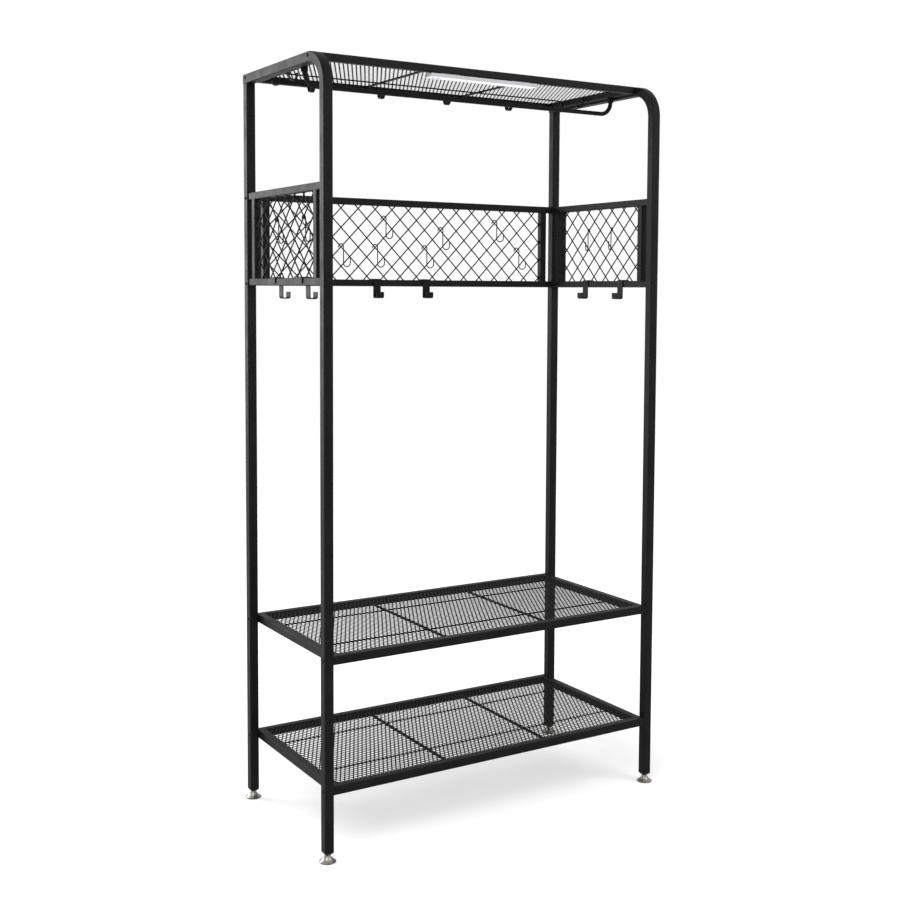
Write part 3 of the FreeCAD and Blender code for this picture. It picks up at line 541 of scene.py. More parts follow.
tiles = tile_tree()
for shelf in SHELVES:
    low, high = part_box(f"{shelf}_shelf_mesh")
    room_x = high.x - low.x
    room_y = high.y - low.y
    columns = round(room_x / CELL_WIDTH)
    rows = round(room_y / CELL_LENGTH)
    width = room_x / columns
    length = room_y / rows
    cell_points = []
    cell_faces = []
    for bar_points, bar_faces in mesh_cell(width, length):
        first = len(cell_points)
        cell_points += bar_points
        cell_faces += [tuple(first + corner for corner in face) for face in bar_faces]
    cell = bpy.data.meshes.new("cell")
    cell.from_pydata(cell_points, [], cell_faces)
    sheet = grow(f"{shelf}_shelf_sheet", cell, tiles, {
        "Columns": columns, "Rows": rows,
        "Span X": width * (columns - 1), "Span Y": length * (rows - 1),
        "Centre": (low + high) / 2, "Finish": mesh_coat,
    })
    stand_for(sheet, f"{shelf}_shelf_mesh")

# Frame bolts and inserts
# Black button-head socket screws, each through a post into a threaded block in the end of a rail.
# The heads sit on the outside of the posts; shanks and blocks are out of sight in the tubes.

HEAD_RADIUS = 0.0045
HEAD_HEIGHT = 0.0024
HEAD_CROWN = 0.55
HEAD_FULLNESS = 0.8
HEAD_LIFTS = (15, 40, 62)
HEX_RADIUS = 0.0016
HEX_DEPTH = 0.0014
HEX_FLAT = 0.9
SHANK_RADIUS = 0.0025
SHANK_LENGTH = 0.037
SHANK_TIP = 0.001
SHANK_TIP_SHARE = 0.7
BOLT_STEPS = 3
BOLT_STAGGER = 0.004
PANEL_RAIL_LEVELS = (1.4335, 1.6635)

black_oxide = cloudy_finish(
    "black_oxide", (0.0045, 0.0045, 0.0048, 1), (0.0090, 0.0090, 0.0095, 1),
    patch=0.004, smooth=0.34, rough=0.46, grain=0.0003, depth=0.00003, Specular_IOR_Level=0.12,
)


def button_head_bolt():
    """Bolt along its own Z, with the underside of the head at zero and the hexagon socket on top."""
    layers = [
        (round_loop(SHANK_RADIUS * SHANK_TIP_SHARE, BOLT_STEPS), -SHANK_LENGTH),
        (round_loop(SHANK_RADIUS, BOLT_STEPS), -SHANK_LENGTH + SHANK_TIP),
        (round_loop(SHANK_RADIUS, BOLT_STEPS), 0.0),
        (round_loop(HEAD_RADIUS, BOLT_STEPS), 0.0),
    ]
    for angle in HEAD_LIFTS:
        lift = math.radians(angle)
        radius = HEAD_RADIUS - HEAD_CROWN * HEAD_RADIUS * (1 - math.cos(lift))
        layers.append((round_loop(radius, BOLT_STEPS), HEAD_HEIGHT * math.sin(lift) ** HEAD_FULLNESS))
    hexagon = []
    spots = 4 * BOLT_STEPS
    for spot in range(spots):
        angle = (spot + 0.5) * 2 * math.pi / spots
        reach = HEX_RADIUS * (1.0 if spot % 2 else HEX_FLAT)
        hexagon.append((reach * math.cos(angle), reach * math.sin(angle)))
    layers.append((hexagon, HEAD_HEIGHT))
    layers.append((hexagon, HEAD_HEIGHT - HEX_DEPTH))
    return loft(layers)


def scatter_tree():
    """Sets one shape at every point of a mesh, turned to the way that the point faces."""
    tree, entry, leave = new_tree("set_bolts", [("Bolt", "Object"), ("Finish", "Material")])
    facing = add(tree, "GeometryNodeInputNamedAttribute", {"Name": "facing"}, data_type="FLOAT_VECTOR")
    turn = add(tree, "FunctionNodeAlignRotationToVector", {"Vector": facing.outputs["Attribute"]}, axis="Z")
    shape = add(tree, "GeometryNodeObjectInfo", {"Object": entry["Bolt"]})
    seats = add(tree, "GeometryNodeMeshToPoints", {"Mesh": entry["Geometry"]})
    stood = add(tree, "GeometryNodeInstanceOnPoints", {
        "Points": seats.outputs["Points"], "Instance": shape.outputs["Geometry"],
        "Rotation": turn.outputs["Rotation"],
    })
    close_tree(tree, leave, stood.outputs["Instances"], entry["Finish"])
    return tree


outer_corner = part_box("rear_right_lower_post")[1]
half_width = outer_corner.x
half_depth = outer_corner.y
post_column = half_width - POST_SIDE / 2
post_row = half_depth - POST_SIDE / 2
top_low, top_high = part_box("top_shelf_frame")
seats = []
for side_x in (-1, 1):
    outward = (side_x, 0, 0)
    for side_y in (-1, 1):
        for shelf in ("middle", "bottom"):
            low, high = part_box(f"{shelf}_shelf_frame")
            seats.append(((side_x * half_width, side_y * post_row, high.z - SHELF_TUBE / 2), outward))
        for level in PANEL_RAIL_LEVELS:
            place = (side_x * post_column, side_y * half_depth, level + BOLT_STAGGER)
            seats.append((place, (0, side_y, 0)))
    for level in PANEL_RAIL_LEVELS:
        seats.append(((side_x * half_width, post_row, level - BOLT_STAGGER), outward))
    for row in (top_low.y + TOP_TUBE / 2, top_high.y - TOP_TUBE / 2):
        seats.append(((side_x * half_width, row, top_high.z - TOP_TUBE / 2), outward))

seat_mesh = bpy.data.meshes.new("bolt_seats")
seat_mesh.from_pydata([Vector(place) for place, facing in seats], [], [])
facings = seat_mesh.attributes.new("facing", "FLOAT_VECTOR", "POINT")
facings.data.foreach_set("vector", [part for place, facing in seats for part in facing])
bolt = built("bolt", [(button_head_bolt(), Matrix())], black_oxide)
bolts = grow("button_head_bolts", seat_mesh, scatter_tree(), {"Bolt": bolt, "Finish": black_oxide})
bpy.data.objects.remove(bolt)
stand_for(bolts, "frame_bolts")
refinish("threaded_inserts", zinc_plate)

# Hook panels
# Two rails and two upright stiles of square tube, welded into a ladder that is bolted between posts.
# Inside it a lattice of round wire is welded in two layers that touch where they cross.

PANEL_TUBE = 0.019
STILE_WIDTH = 0.020
STILE_INSET = 0.022
LATTICE_RADIUS = 0.0018
LATTICE_PITCH = 0.0546
LATTICE_LEVEL = 1.536
LATTICE_SHIFTS = {"back": -0.0143, "left": 0.0, "right": 0.0}
PANEL_TURNS = {"back": 0, "left": math.pi / 2, "right": -math.pi / 2}


def panel_frame(panel):
    """Rails and stiles of one panel, inside the box of its solid."""
    low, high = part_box(f"{panel}_panel_frame")
    middle = (low + high) / 2
    along = Vector((1, 0, 0)) if panel == "back" else Vector((0, 1, 0))
    half_length = (high - low).dot(along) / 2
    rails = []
    for level in (low.z + PANEL_TUBE / 2, high.z - PANEL_TUBE / 2):
        centre = Vector((middle.x, middle.y, level))
        rails.append(straight(centre - along * half_length, centre + along * half_length))
    stock = {
        "Width": PANEL_TUBE, "Height": PANEL_TUBE, "Corner": FRAME_CORNER, "Bend Steps": 1,
        "Closed Ends": True, "Finish": powder_coat,
    }
    bars = grow("bars", path_mesh("path", rails), square_stock, stock)
    stile_foot = low.z + PANEL_TUBE - WELD_BURY
    stile_head = high.z - PANEL_TUBE + WELD_BURY
    stiles = []
    for sign in (-1, 1):
        spot = middle + along * sign * (half_length - STILE_INSET - STILE_WIDTH / 2)
        stiles.append(straight((spot.x, spot.y, stile_foot), (spot.x, spot.y, stile_head)))
    spans = (STILE_WIDTH, PANEL_TUBE) if panel == "back" else (PANEL_TUBE, STILE_WIDTH)
    stile_stock = dict(stock, Width=spans[0], Height=spans[1])
    uprights = grow("uprights", path_mesh("path", stiles), square_stock, stile_stock)
    return joined(f"{panel}_panel_tubes", [bars, uprights])


def panel_seat(panel):
    """Place of a panel's own frame: along the panel, towards its outside, up from the crossing level."""
    low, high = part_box(f"{panel}_panel_frame")
    middle = (low + high) / 2
    turn = Matrix.Rotation(PANEL_TURNS[panel], 4, "Z")
    return Matrix.Translation((middle.x, middle.y, LATTICE_LEVEL)) @ turn


def lattice_paths(panel):
    """Both layers of crossing wires, cut off at the edges of the panel's opening."""
    low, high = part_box(f"{panel}_panel_lattice")
    half_span = max(high.x - low.x, high.y - low.y) / 2
    floor = low.z - LATTICE_LEVEL
    ceiling = high.z - LATTICE_LEVEL
    seat = panel_seat(panel)
    shift = LATTICE_SHIFTS[panel]
    reach = int((2 * half_span + ceiling - floor) / LATTICE_PITCH) + 2
    paths = []
    for lean, layer in ((1, -LATTICE_RADIUS), (-1, LATTICE_RADIUS)):
        for step in range(-reach, reach + 1):
            foot = shift + step * LATTICE_PITCH
            ends = sorted((foot + lean * floor, foot + lean * ceiling))
            start = max(ends[0], -half_span)
            stop = min(ends[1], half_span)
            if stop - start < 4 * LATTICE_RADIUS:
                continue
            points = [
                seat @ Vector((spot, layer, lean * (spot - foot)))
                for spot in (start - WELD_BURY, stop + WELD_BURY)
            ]
            paths.append(straight(*points))
    return paths


LATTICE_WIRE = {"Radius": LATTICE_RADIUS, "Sides": 10, "Bend Steps": 1, "Finish": powder_coat}
for panel in PANEL_TURNS:
    stand_for(panel_frame(panel), f"{panel}_panel_frame")
    wires = grow(f"{panel}_panel_wires", path_mesh("path", lattice_paths(panel)), round_wire, LATTICE_WIRE)
    stand_for(wires, f"{panel}_panel_lattice")

# Wire hooks
# Round steel wire bent into a saddle over a lattice crossing, a straight shank and an open bend.
# They only hang there, so each swings on its crossing; dipped in a smoother black coat.

HOOK_RADIUS = 0.0015
HOOK_SADDLE = 0.0079
HOOK_BACK_LEG = 0.003
HOOK_SHANK = 0.046
HOOK_BEND = 0.011
HOOK_TIP = 0.014
HOOK_TURN = math.radians(34)
HALF_PITCH = LATTICE_PITCH / 2
# The crossings that carry a hook, counted in half pitches along each panel and up from the crossing level.
WIRE_HOOKS = {
    "back": [(-8, 0), (-4, 0), (-3, 3), (2, 0), (4, 2), (11, 3), (14, 0)],
    "left": [(2, 2), (-4, 2)],
    "right": [(-2, 2), (2, 2)],
}

hook_coat = cloudy_finish(
    "hook_coat", (0.0030, 0.0030, 0.0033, 1), (0.0060, 0.0060, 0.0064, 1),
    patch=0.01, smooth=0.40, rough=0.52, grain=0.0005, depth=0.00004, Specular_IOR_Level=0.07,
)
HOOK_WIRE = {"Radius": HOOK_RADIUS, "Sides": 14, "Bend Steps": 12, "Finish": hook_coat}


def wire_hook_path(place):
    """Middle of the wire, from the short leg behind the lattice to the open tip in front of it."""
    front = -HOOK_SADDLE
    toe = front - 2 * HOOK_BEND
    bottom = -HOOK_SHANK - HOOK_BEND
    corners = [
        ((0, HOOK_SADDLE, -HOOK_BACK_LEG), 0.0),
        ((0, HOOK_SADDLE, HOOK_SADDLE), HOOK_SADDLE),
        ((0, front, HOOK_SADDLE), HOOK_SADDLE),
        ((0, front, bottom), HOOK_BEND),
        ((0, toe, bottom), HOOK_BEND),
        ((0, toe, -HOOK_SHANK + HOOK_TIP), 0.0),
    ]
    return [(place @ Vector(point), bend) for point, bend in corners]


for panel, counts in WIRE_HOOKS.items():
    for number, (along, up) in enumerate(counts, start=1):
        node = f"{panel}_wire_hook_{number}"
        spot = Vector((LATTICE_SHIFTS[panel] + along * HALF_PITCH, 0, up * HALF_PITCH))
        place = panel_seat(panel) @ Matrix.Translation(spot) @ Matrix.Rotation(HOOK_TURN, 4, "Z")
        hook = grow(f"{node}_wire", path_mesh("path", [wire_hook_path(place)]), round_wire, HOOK_WIRE)
        stand_for(hook, node, node)

# Strip hooks
# Flat steel strip bent over a panel's bottom rail, down its front and up again at the toe.
# Each lifts off the rail, so its short back leg only rests against the tube.

STRIP_WIDTH = 0.024
STRIP_THICKNESS = 0.0025
STRIP_FIT = 0.0003
STRIP_RAIL_BEND = 0.0018
STRIP_BEND = 0.005
STRIP_BACK_LEG = 0.013
STRIP_DROP = 0.034
STRIP_REACH = 0.020
STRIP_TIP = 0.017
STRIP_EDGE = 0.0007
# The places of the strip hooks, counted in half pitches of the lattice along each panel.
STRIP_COLUMNS = {"back": [-4, 2], "left": [2, -4], "right": [-2, 4]}


def strip_path(place):
    """Middle of the strip, from its back leg over the rail to the toe."""
    half_rail = PANEL_TUBE / 2
    out = half_rail + STRIP_FIT + STRIP_THICKNESS / 2
    floor = -half_rail - STRIP_DROP + STRIP_THICKNESS / 2
    toe = -out - STRIP_REACH
    corners = [
        ((0, out, half_rail - STRIP_BACK_LEG), 0.0),
        ((0, out, out), STRIP_RAIL_BEND),
        ((0, -out, out), STRIP_RAIL_BEND),
        ((0, -out, floor), STRIP_BEND),
        ((0, toe, floor), STRIP_BEND),
        ((0, toe, floor + STRIP_TIP), 0.0),
    ]
    return [(place @ Vector(point), bend) for point, bend in corners]


for panel, columns in STRIP_COLUMNS.items():
    spans = (STRIP_WIDTH, STRIP_THICKNESS) if panel == "back" else (STRIP_THICKNESS, STRIP_WIDTH)
    strip_stock = {
        "Width": spans[0], "Height": spans[1], "Corner": STRIP_EDGE, "Bend Steps": 8, "Closed Ends": True,
        "Finish": hook_coat,
    }
    for number, column in enumerate(columns, start=1):
        node = f"{panel}_strip_hook_{number}"
        rail_drop = PANEL_RAIL_LEVELS[0] - LATTICE_LEVEL
        spot = Vector((LATTICE_SHIFTS[panel] + column * HALF_PITCH, 0, rail_drop))
        place = panel_seat(panel) @ Matrix.Translation(spot)
        hook = grow(f"{node}_bent", path_mesh("path", [strip_path(place)]), square_stock, strip_stock)
        stand_for(hook, node, node)

# Band hooks
# Flat steel band bent into an open J, welded in rows on the inside of the top shelf's rear rail
# and of its two side members, and coated with the frame.

BAND_WIDTH = 0.013
BAND_THICKNESS = 0.0025
BAND_EDGE = 0.0008
BAND_ROOT_DROP = 0.005
BAND_BEND = 0.01175
BAND_DROP = 0.017
BAND_TIP = 0.007
REAR_BAND_MIDDLE = -0.007
REAR_BAND_PITCH = 0.218
REAR_BAND_STEPS = (-1.5, -0.5, 0.5, 1.5)
SIDE_BAND_MIDDLE = 0.105
SIDE_BAND_PITCH = 0.105
SIDE_BAND_STEPS = (-0.5, 0.5)


def band_path(place):
    """Middle of the band, from its weld on the frame round the open bend to its tip."""
    heel = -BAND_THICKNESS / 2
    toe = heel - 2 * BAND_BEND
    bottom = -TOP_TUBE - BAND_DROP + BAND_THICKNESS / 2
    corners = [
        ((0, heel, -BAND_ROOT_DROP), 0.0),
        ((0, heel, bottom), BAND_BEND),
        ((0, toe, bottom), BAND_BEND),
        ((0, toe, bottom + BAND_BEND + BAND_TIP), 0.0),
    ]
    return [(place @ Vector(point), bend) for point, bend in corners]


inside_row = post_row - TOP_TUBE / 2
inside_column = half_width - POST_SIDE - TOP_TUBE
rear_seats = [
    Matrix.Translation((REAR_BAND_MIDDLE + step * REAR_BAND_PITCH, inside_row, top_high.z))
    for step in REAR_BAND_STEPS
]
side_seats = []
for sign in (-1, 1):
    inward = Matrix.Rotation(-sign * math.pi / 2, 4, "Z")
    for step in SIDE_BAND_STEPS:
        seat_row = SIDE_BAND_MIDDLE + step * SIDE_BAND_PITCH
        side_seats.append(Matrix.Translation((sign * inside_column, seat_row, top_high.z)) @ inward)
rear_spans = (BAND_WIDTH, BAND_THICKNESS)
side_spans = (BAND_THICKNESS, BAND_WIDTH)
for name, places, spans in (("rear", rear_seats, rear_spans), ("side", side_seats, side_spans)):
    band_stock = {
        "Width": spans[0], "Height": spans[1], "Corner": BAND_EDGE, "Bend Steps": 10, "Closed Ends": True,
        "Finish": powder_coat,
    }
    paths = [band_path(place) for place in places]
    bands = grow(f"{name}_rail_bands", path_mesh("path", paths), square_stock, band_stock)
    stand_for(bands, f"{name}_rail_hooks")

# Garment rod
# Round steel bar bent up at both ends and pushed into two turned sockets.
# The sockets are welded under the top shelf's side members.

ROD_RADIUS = 0.006
ROD_BEND = 0.034
SOCKET_OUTER = 0.0092
SOCKET_EDGE = 0.001
SOCKET_HEIGHT = 0.014
SOCKET_BORE = 0.0062
SOCKET_BORE_DEPTH = 0.012

rod_low, rod_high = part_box("garment_rod")
rod_row = (rod_low.y + rod_high.y) / 2
rod_path = [
    (Vector((rod_low.x + ROD_RADIUS, rod_row, rod_high.z)), 0.0),
    (Vector((rod_low.x + ROD_RADIUS, rod_row, rod_low.z + ROD_RADIUS)), ROD_BEND),
    (Vector((rod_high.x - ROD_RADIUS, rod_row, rod_low.z + ROD_RADIUS)), ROD_BEND),
    (Vector((rod_high.x - ROD_RADIUS, rod_row, rod_high.z)), 0.0),
]
ROD_BAR = {"Radius": ROD_RADIUS, "Sides": 24, "Bend Steps": 14, "Finish": powder_coat}
bar = grow("garment_bar", path_mesh("path", [rod_path]), round_wire, ROD_BAR)
stand_for(bar, "garment_rod")

socket_shape = loft([
    (round_loop(SOCKET_BORE), SOCKET_BORE_DEPTH),
    (round_loop(SOCKET_BORE), 0.0),
    (round_loop(SOCKET_OUTER - SOCKET_EDGE), 0.0),
    (round_loop(SOCKET_OUTER), SOCKET_EDGE),
    (round_loop(SOCKET_OUTER), SOCKET_HEIGHT),
])
socket_low, socket_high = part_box("rod_sockets")
socket_places = [
    (socket_shape, Matrix.Translation((column, rod_row, socket_low.z)))
    for column in (socket_low.x + SOCKET_OUTER, socket_high.x - SOCKET_OUTER)
]
stand_for(built("turned_sockets", socket_places, powder_coat), "rod_sockets")

# Light bar
# Battery light in a shallow pale housing, held under the top shelf's front rail by two magnets.
# A milky lens closes it from below, with a sensor dome and a push button near one end.

LIGHT_CORNER = 0.008
LIGHT_WALL = 0.0015
LIGHT_EDGE = 0.0012
LENS_DIM = (0.66, 0.68, 0.71, 1)
LENS_BRIGHT = (0.76, 0.77, 0.78, 1)
LENS_GLOW = 0.55
LENS_ROUGHNESS = 0.35
RIB_SCALE = 160.0
RIB_STRENGTH = 0.3
RIB_DEPTH = 0.0002
HOLE_FIT = 0.0003
SENSOR_RADIUS = 0.005
DOME_LIFTS = range(84, 0, -14)
BUTTON_RADIUS = 0.003
BUTTON_FLANGE = 0.001
BUTTON_DISH = 0.0002
BUTTON_ROUND = 0.0006
BUTTON_DISH_SHARE = 0.55
BUTTON_CREST_SHARE = 0.8
BUTTON_SHOULDER_SHARE = 0.95

satin_grey = cloudy_finish(
    "satin_grey", (0.33, 0.33, 0.345, 1), (0.38, 0.38, 0.395, 1),
    patch=0.02, smooth=0.32, rough=0.40, grain=0.0004, depth=0.00003,
)
sensor_white = cloudy_finish(
    "sensor_white", (0.74, 0.75, 0.76, 1), (0.82, 0.83, 0.84, 1),
    patch=0.004, smooth=0.30, rough=0.38, grain=0.0012, depth=0.0002,
)
nickel_plate = cloudy_finish(
    "nickel_plate", (0.09, 0.089, 0.085, 1), (0.13, 0.128, 0.122, 1),
    patch=0.008, smooth=0.40, rough=0.54, grain=0.0008, depth=0.00003, Metallic=1.0,
)


def lit_lens():
    """Milky acrylic that glows evenly, with fine ribs along it."""
    material = bpy.data.materials.new("lit_lens")
    material.use_nodes = True
    tree = material.node_tree
    shader = tree.nodes["Principled BSDF"]
    place = add(tree, "ShaderNodeTexCoord", {}).outputs["Object"]
    ribs = add(tree, "ShaderNodeTexWave", {"Vector": place, "Scale": RIB_SCALE}, bands_direction="Y")
    bump = add(tree, "ShaderNodeBump", {
        "Height": ribs.outputs["Fac"], "Strength": RIB_STRENGTH, "Distance": RIB_DEPTH,
    })
    glow = add(tree, "ShaderNodeValToRGB", {"Fac": ribs.outputs["Fac"]})
    glow.color_ramp.elements[0].color = LENS_DIM
    glow.color_ramp.elements[1].color = LENS_BRIGHT
    tree.links.new(glow.outputs["Color"], shader.inputs["Base Color"])
    tree.links.new(glow.outputs["Color"], shader.inputs["Emission Color"])
    tree.links.new(bump.outputs["Normal"], shader.inputs["Normal"])
    shader.inputs["Emission Strength"].default_value = LENS_GLOW
    shader.inputs["Roughness"].default_value = LENS_ROUGHNESS
    return material


low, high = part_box("light_housing")
middle = (low + high) / 2
light_place = Matrix.Translation((middle.x, middle.y, low.z))
half_long = (high.x - low.x) / 2
half_deep = (high.y - low.y) / 2
tall = high.z - low.z


def housing_loop(inset):
    """Points round the housing's outline, so far inside it."""
    return rounded_loop(half_long - inset, half_deep - inset, LIGHT_CORNER - inset)


light_knee = EDGE_KNEE * LIGHT_EDGE
housing_shape = loft([
    (housing_loop(LIGHT_WALL), tall - LIGHT_WALL),
    (housing_loop(LIGHT_WALL), 0.0),
    (housing_loop(light_knee), 0.0),
    (housing_loop(0.0), light_knee),
    (housing_loop(0.0), tall - LIGHT_EDGE),
    (housing_loop(light_knee), tall - light_knee),
    (housing_loop(LIGHT_EDGE), tall),
])
housing = built("light_shell", [(housing_shape, light_place)], satin_grey)
stand_for(housing, "light_housing")
refinish("light_diffuser", lit_lens())
refinish("light_magnets", nickel_plate)

sensor_low, sensor_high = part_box("light_sensor")
sensor_mid = (sensor_low + sensor_high) / 2
dome_layers = []
for angle in DOME_LIFTS:
    lift = math.radians(angle)
    dome_layers.append((round_loop(SENSOR_RADIUS * math.cos(lift)), SENSOR_RADIUS * (1 - math.sin(lift))))
dome_layers.append((round_loop(SENSOR_RADIUS), SENSOR_RADIUS))
dome_layers.append((round_loop(SENSOR_RADIUS), sensor_high.z - sensor_low.z))
dome_place = Matrix.Translation((sensor_mid.x, sensor_mid.y, sensor_low.z))
dome = built("sensor_dome", [(loft(dome_layers), dome_place)], sensor_white)
stand_for(dome, "light_sensor")

button_low, button_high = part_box("light_button")
button_mid = (button_low + button_high) / 2
press = button_high.z - button_low.z
rim = BUTTON_RADIUS + HOLE_FIT + BUTTON_FLANGE
button_shape = loft([
    (round_loop(BUTTON_DISH_SHARE * BUTTON_RADIUS), BUTTON_DISH),
    (round_loop(BUTTON_CREST_SHARE * BUTTON_RADIUS), 0.0),
    (round_loop(BUTTON_SHOULDER_SHARE * BUTTON_RADIUS), BUTTON_DISH),
    (round_loop(BUTTON_RADIUS), BUTTON_ROUND),
    (round_loop(BUTTON_RADIUS), press - BUTTON_FLANGE),
    (round_loop(rim), press - BUTTON_FLANGE),
    (round_loop(rim), press),
])
button_place = Matrix.Translation((button_mid.x, button_mid.y, button_low.z))
button = built("push_button", [(button_shape, button_place)], satin_grey)
stand_for(button, "light_button", "light_button")

# Light bar's board and cell
# A glass-fibre board with solder mask and a flat cell in plain film, both inside the housing.
# They are out of sight unless the light is taken apart.

board_mask = cloudy_finish(
    "board_mask", (0.010, 0.070, 0.030, 1), (0.016, 0.110, 0.048, 1),
    patch=0.003, smooth=0.30, rough=0.42, grain=0.0006, depth=0.00003,
)
cell_film = cloudy_finish(
    "cell_film", (0.28, 0.30, 0.34, 1), (0.36, 0.38, 0.42, 1),
    patch=0.006, smooth=0.22, rough=0.36, grain=0.0015, depth=0.00008,
)
refinish("light_board", board_mask)
refinish("light_battery", cell_film)

# Leg plugs
# Black moulded plugs pressed into the posts' lower ends, with a tapered collar under the tube.
# Each is bored through and threaded for the stem of its foot.

PLUG_INSERT = 0.022
PLUG_HALF = 0.0109
PLUG_CORNER = 0.0012
PLUG_COLLAR = 0.005
COLLAR_INSET = 0.0003
COLLAR_LIP = 0.0008
COLLAR_LIP_INSET = 0.0006
PLUG_TIP_HALF = 0.009
PLUG_TIP_CORNER = 0.0024
PLUG_TIP_EDGE = 0.0008
PLUG_TIP_RISE = 0.0006
STEM_BORE = 0.0041
POST_BOTTOM = 0.025

plug_shape = loft([
    (round_loop(STEM_BORE), -PLUG_COLLAR),
    (square_loop(PLUG_TIP_HALF - PLUG_TIP_EDGE, PLUG_TIP_CORNER - PLUG_TIP_EDGE / 2), -PLUG_COLLAR),
    (square_loop(PLUG_TIP_HALF, PLUG_TIP_CORNER), -PLUG_COLLAR + PLUG_TIP_RISE),
    (square_loop(post_half - COLLAR_LIP_INSET, POST_CORNER), -COLLAR_LIP),
    (square_loop(post_half - COLLAR_INSET, POST_CORNER), 0.0),
    (square_loop(PLUG_HALF, PLUG_CORNER), 0.0),
    (square_loop(PLUG_HALF, PLUG_CORNER), PLUG_INSERT),
    (round_loop(STEM_BORE), PLUG_INSERT),
], ring=True)
plug_places = []
for corner in CORNERS:
    low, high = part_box(f"{corner}_lower_post")
    middle = (low + high) / 2
    plug_places.append((plug_shape, Matrix.Translation((middle.x, middle.y, POST_BOTTOM))))
stand_for(built("tapered_plugs", plug_places, moulded_black), "leg_plugs")

# Levelling feet
# Chromed steel bells turned with a flared skirt and a rolled rim, each on a threaded stem.
# Screwing a foot in or out of its plug levels the rack.

FOOT_RADIUS = 0.0215
FOOT_STEPS = 12
FOOT_RIM = 0.003
RIM_LIFTS = (-60, -30, 0, 30, 60)
SOLE_INSET = 0.0012
BELL_HEIGHT = 0.018
BELL_INSET = 0.0015
BELL_CURVE = 1.7
BELL_LAYERS = 8
NECK_RADIUS = 0.008
NECK_EDGE = 0.001
NECK_EDGE_INSET = 0.0008
STEM_RADIUS = 0.004
STEM_TOP = 0.046
THREAD_PITCH = 0.00125
THREAD_DEPTH = 0.0005
THREAD_ROOT_SHARE = 0.1
THREAD_CREST_SHARE = 0.6
# Painted shade at the feet's rims: the base colour is scaled down over the lowest few millimetres, to this
# share at the floor.
RIM_SHADE_TOP = 0.004
RIM_SHADE_FLOOR = 0.001
RIM_SHADE_DEPTH = 0.22

chrome = cloudy_finish(
    "chrome", (0.20, 0.193, 0.178, 1), (0.28, 0.27, 0.25, 1),
    patch=0.01, smooth=0.28, rough=0.38, grain=0.002, depth=0.00002, Metallic=1.0,
)


def paint_rim_shade(material):
    """Painted shade on the lowest few millimetres of a turned foot, darker towards the floor, for the
    shadowed floor that its rim reflects.
    """
    tree = material.node_tree
    shader = tree.nodes["Principled BSDF"]
    unshaded = shader.inputs["Base Color"].links[0].from_socket
    place = add(tree, "ShaderNodeTexCoord", {}).outputs["Object"]
    height = add(tree, "ShaderNodeSeparateXYZ", {"Vector": place}).outputs["Z"]
    share = add(tree, "ShaderNodeMapRange", {
        "Value": height, "From Min": RIM_SHADE_FLOOR, "From Max": RIM_SHADE_TOP,
        "To Min": RIM_SHADE_DEPTH, "To Max": 1.0,
    })
    shaded = add(tree, "ShaderNodeVectorMath", {
        "Vector": unshaded, "Scale": share.outputs["Result"],
    }, operation="SCALE")
    tree.links.new(shaded.outputs["Vector"], shader.inputs["Base Color"])


# Paints shade into the chrome near the floor, standing in for the shadowed floor that the rolled rim
# reflects.
paint_rim_shade(chrome)


def bell_foot():
    """Turned foot: rolled rim, hollow flare, neck and threaded stem."""
    profile = [(FOOT_RADIUS - SOLE_INSET, 0.0)]
    roll = FOOT_RIM / 2
    for angle in RIM_LIFTS:
        lift = math.radians(angle)
        profile.append((FOOT_RADIUS - roll + roll * math.cos(lift), roll + roll * math.sin(lift)))
    flare = FOOT_RADIUS - BELL_INSET - NECK_RADIUS
    rise = BELL_HEIGHT - NECK_EDGE - FOOT_RIM
    for step in range(1, BELL_LAYERS + 1):
        share = step / BELL_LAYERS
        profile.append((NECK_RADIUS + flare * (1 - share) ** BELL_CURVE, FOOT_RIM + rise * share))
    profile.append((NECK_RADIUS - NECK_EDGE_INSET, BELL_HEIGHT))
    thread_root = STEM_RADIUS - THREAD_DEPTH
    turns = int((STEM_TOP - BELL_HEIGHT) / THREAD_PITCH)
    for turn in range(turns):
        level = BELL_HEIGHT + turn * THREAD_PITCH
        profile.append((thread_root, level + THREAD_ROOT_SHARE * THREAD_PITCH))
        profile.append((STEM_RADIUS, level + THREAD_CREST_SHARE * THREAD_PITCH))
    profile.append((thread_root, STEM_TOP))
    return loft([(round_loop(radius, FOOT_STEPS), level) for radius, level in profile])


for corner in CORNERS:
    low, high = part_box(f"{corner}_foot")
    place = Matrix.Translation(((low.x + high.x) / 2, (low.y + high.y) / 2, low.z))
    foot = built(f"{corner}_bell", [(bell_foot(), place)], chrome)
    stand_for(foot, f"{corner}_foot", f"{corner}_foot")

# Studio
# A pale floor that runs out to white, an even bright surround and three large soft lamps.
# The camera stands to the front left, a little above the middle of the rack.

FLOOR_HALF = 12.0
FLOOR_DROP = 0.0002
FLOOR_GREY = (0.86, 0.86, 0.86, 1)
FLOOR_GLOW = 0.54
FLOOR_GLOW_NEAR = 0.26
GLOW_START = 1.0
GLOW_FULL = 5.0
SURROUND_FILL = 0.56
LAMP_SIZE = 2.4
# Each lamp's place, the point that it faces and its power in watts.
LAMPS = {
    "key": ((-2.6, -2.2, 3.4), (0, 0, 0.9), 90),
    "fill": ((1.9, -2.9, 2.9), (0, 0, 1.3), 60),
    "rim": ((-2.4, 3.2, 2.0), (-0.4, 0, 1.5), 135),
}
CAMERA_PLACE = (-1.8528, -2.9991, 1.4146)
CAMERA_TURN = math.radians(31.5166)
CAMERA_PITCH = math.radians(-3.8324)
CAMERA_ROLL = math.radians(0.2508)
CAMERA_LENS = 50.795
CAMERA_SENSOR = 36
CAMERA_SHIFT = -0.0833


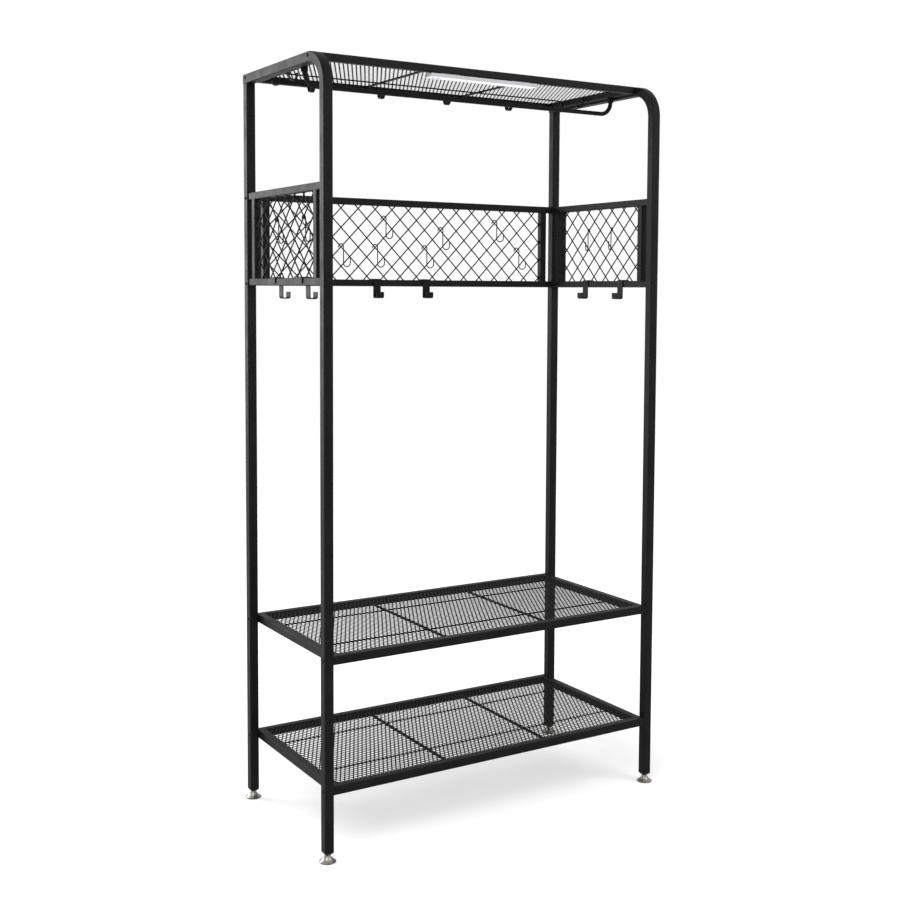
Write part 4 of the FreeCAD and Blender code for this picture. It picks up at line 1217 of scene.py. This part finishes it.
def seen_directly(tree):
    """One where a ray comes straight from the camera, or by a reflection or through clear material."""
    path = add(tree, "ShaderNodeLightPath", {}).outputs
    mirror = add(tree, "ShaderNodeMath", {
        0: path["Is Camera Ray"], 1: path["Is Glossy Ray"],
    }, operation="MAXIMUM")
    return add(tree, "ShaderNodeMath", {
        0: mirror.outputs["Value"], 1: path["Is Transmission Ray"],
    }, operation="MAXIMUM").outputs["Value"]


floor_points = [
    (a * FLOOR_HALF, b * FLOOR_HALF, -FLOOR_DROP) for a, b in ((-1, -1), (1, -1), (1, 1), (-1, 1))
]
floor_mesh = bpy.data.meshes.new("floor")
floor_mesh.from_pydata(floor_points, [], [(0, 1, 2, 3)])
floor = bpy.data.objects.new("floor", floor_mesh)
bpy.context.scene.collection.objects.link(floor)
pale_floor = bpy.data.materials.new("pale_floor")
pale_floor.use_nodes = True
tree = pale_floor.node_tree
tree.nodes.remove(tree.nodes["Principled BSDF"])
matt = add(tree, "ShaderNodeBsdfDiffuse", {"Color": FLOOR_GREY})
place = add(tree, "ShaderNodeTexCoord", {}).outputs["Object"]
distance = add(tree, "ShaderNodeVectorMath", {"Vector": place}, operation="LENGTH")
strength = add(tree, "ShaderNodeMapRange", {
    "Value": distance.outputs["Value"], "From Min": GLOW_START, "From Max": GLOW_FULL,
    "To Min": FLOOR_GLOW_NEAR, "To Max": FLOOR_GLOW,
})
reach = add(tree, "ShaderNodeMath", {
    0: seen_directly(tree), 1: strength.outputs["Result"],
}, operation="MULTIPLY")
glow = add(tree, "ShaderNodeEmission", {"Strength": reach.outputs["Value"]})
both = add(tree, "ShaderNodeAddShader", {0: matt.outputs["BSDF"], 1: glow.outputs["Emission"]})
tree.links.new(both.outputs["Shader"], tree.nodes["Material Output"].inputs["Surface"])
floor_mesh.materials.append(pale_floor)

world = bpy.data.worlds.new("studio")
world.use_nodes = True
bpy.context.scene.world = world
tree = world.node_tree
level = add(tree, "ShaderNodeMath", {
    0: seen_directly(tree), 1: 1.0 - SURROUND_FILL, 2: SURROUND_FILL,
}, operation="MULTIPLY_ADD")
backdrop = tree.nodes["Background"]
backdrop.inputs["Color"].default_value = (1, 1, 1, 1)
tree.links.new(level.outputs["Value"], backdrop.inputs["Strength"])


def soft_lamp(name, place, aim, power):
    """Square lamp at a place, turned to the point that it lights."""
    lamp = bpy.data.lights.new(name, "AREA")
    lamp.size = LAMP_SIZE
    lamp.energy = power
    holder = bpy.data.objects.new(name, lamp)
    bpy.context.scene.collection.objects.link(holder)
    holder.location = place
    holder.rotation_euler = (Vector(aim) - Vector(place)).to_track_quat("-Z", "Y").to_euler()


for name, (lamp_place, aim, power) in LAMPS.items():
    soft_lamp(name, lamp_place, aim, power)

camera = bpy.data.objects.new("camera", bpy.data.cameras.new("camera"))
bpy.context.scene.collection.objects.link(camera)
camera.data.lens = CAMERA_LENS
camera.data.sensor_width = CAMERA_SENSOR
camera.data.shift_y = CAMERA_SHIFT
camera.matrix_world = (
    Matrix.Translation(CAMERA_PLACE)
    @ Matrix.Rotation(-CAMERA_TURN, 4, "Z")
    @ Matrix.Rotation(math.pi / 2 + CAMERA_PITCH, 4, "X")
    @ Matrix.Rotation(CAMERA_ROLL, 4, "Z")
)
bpy.context.scene.camera = camera
bpy.context.scene.view_settings.view_transform = "Standard"
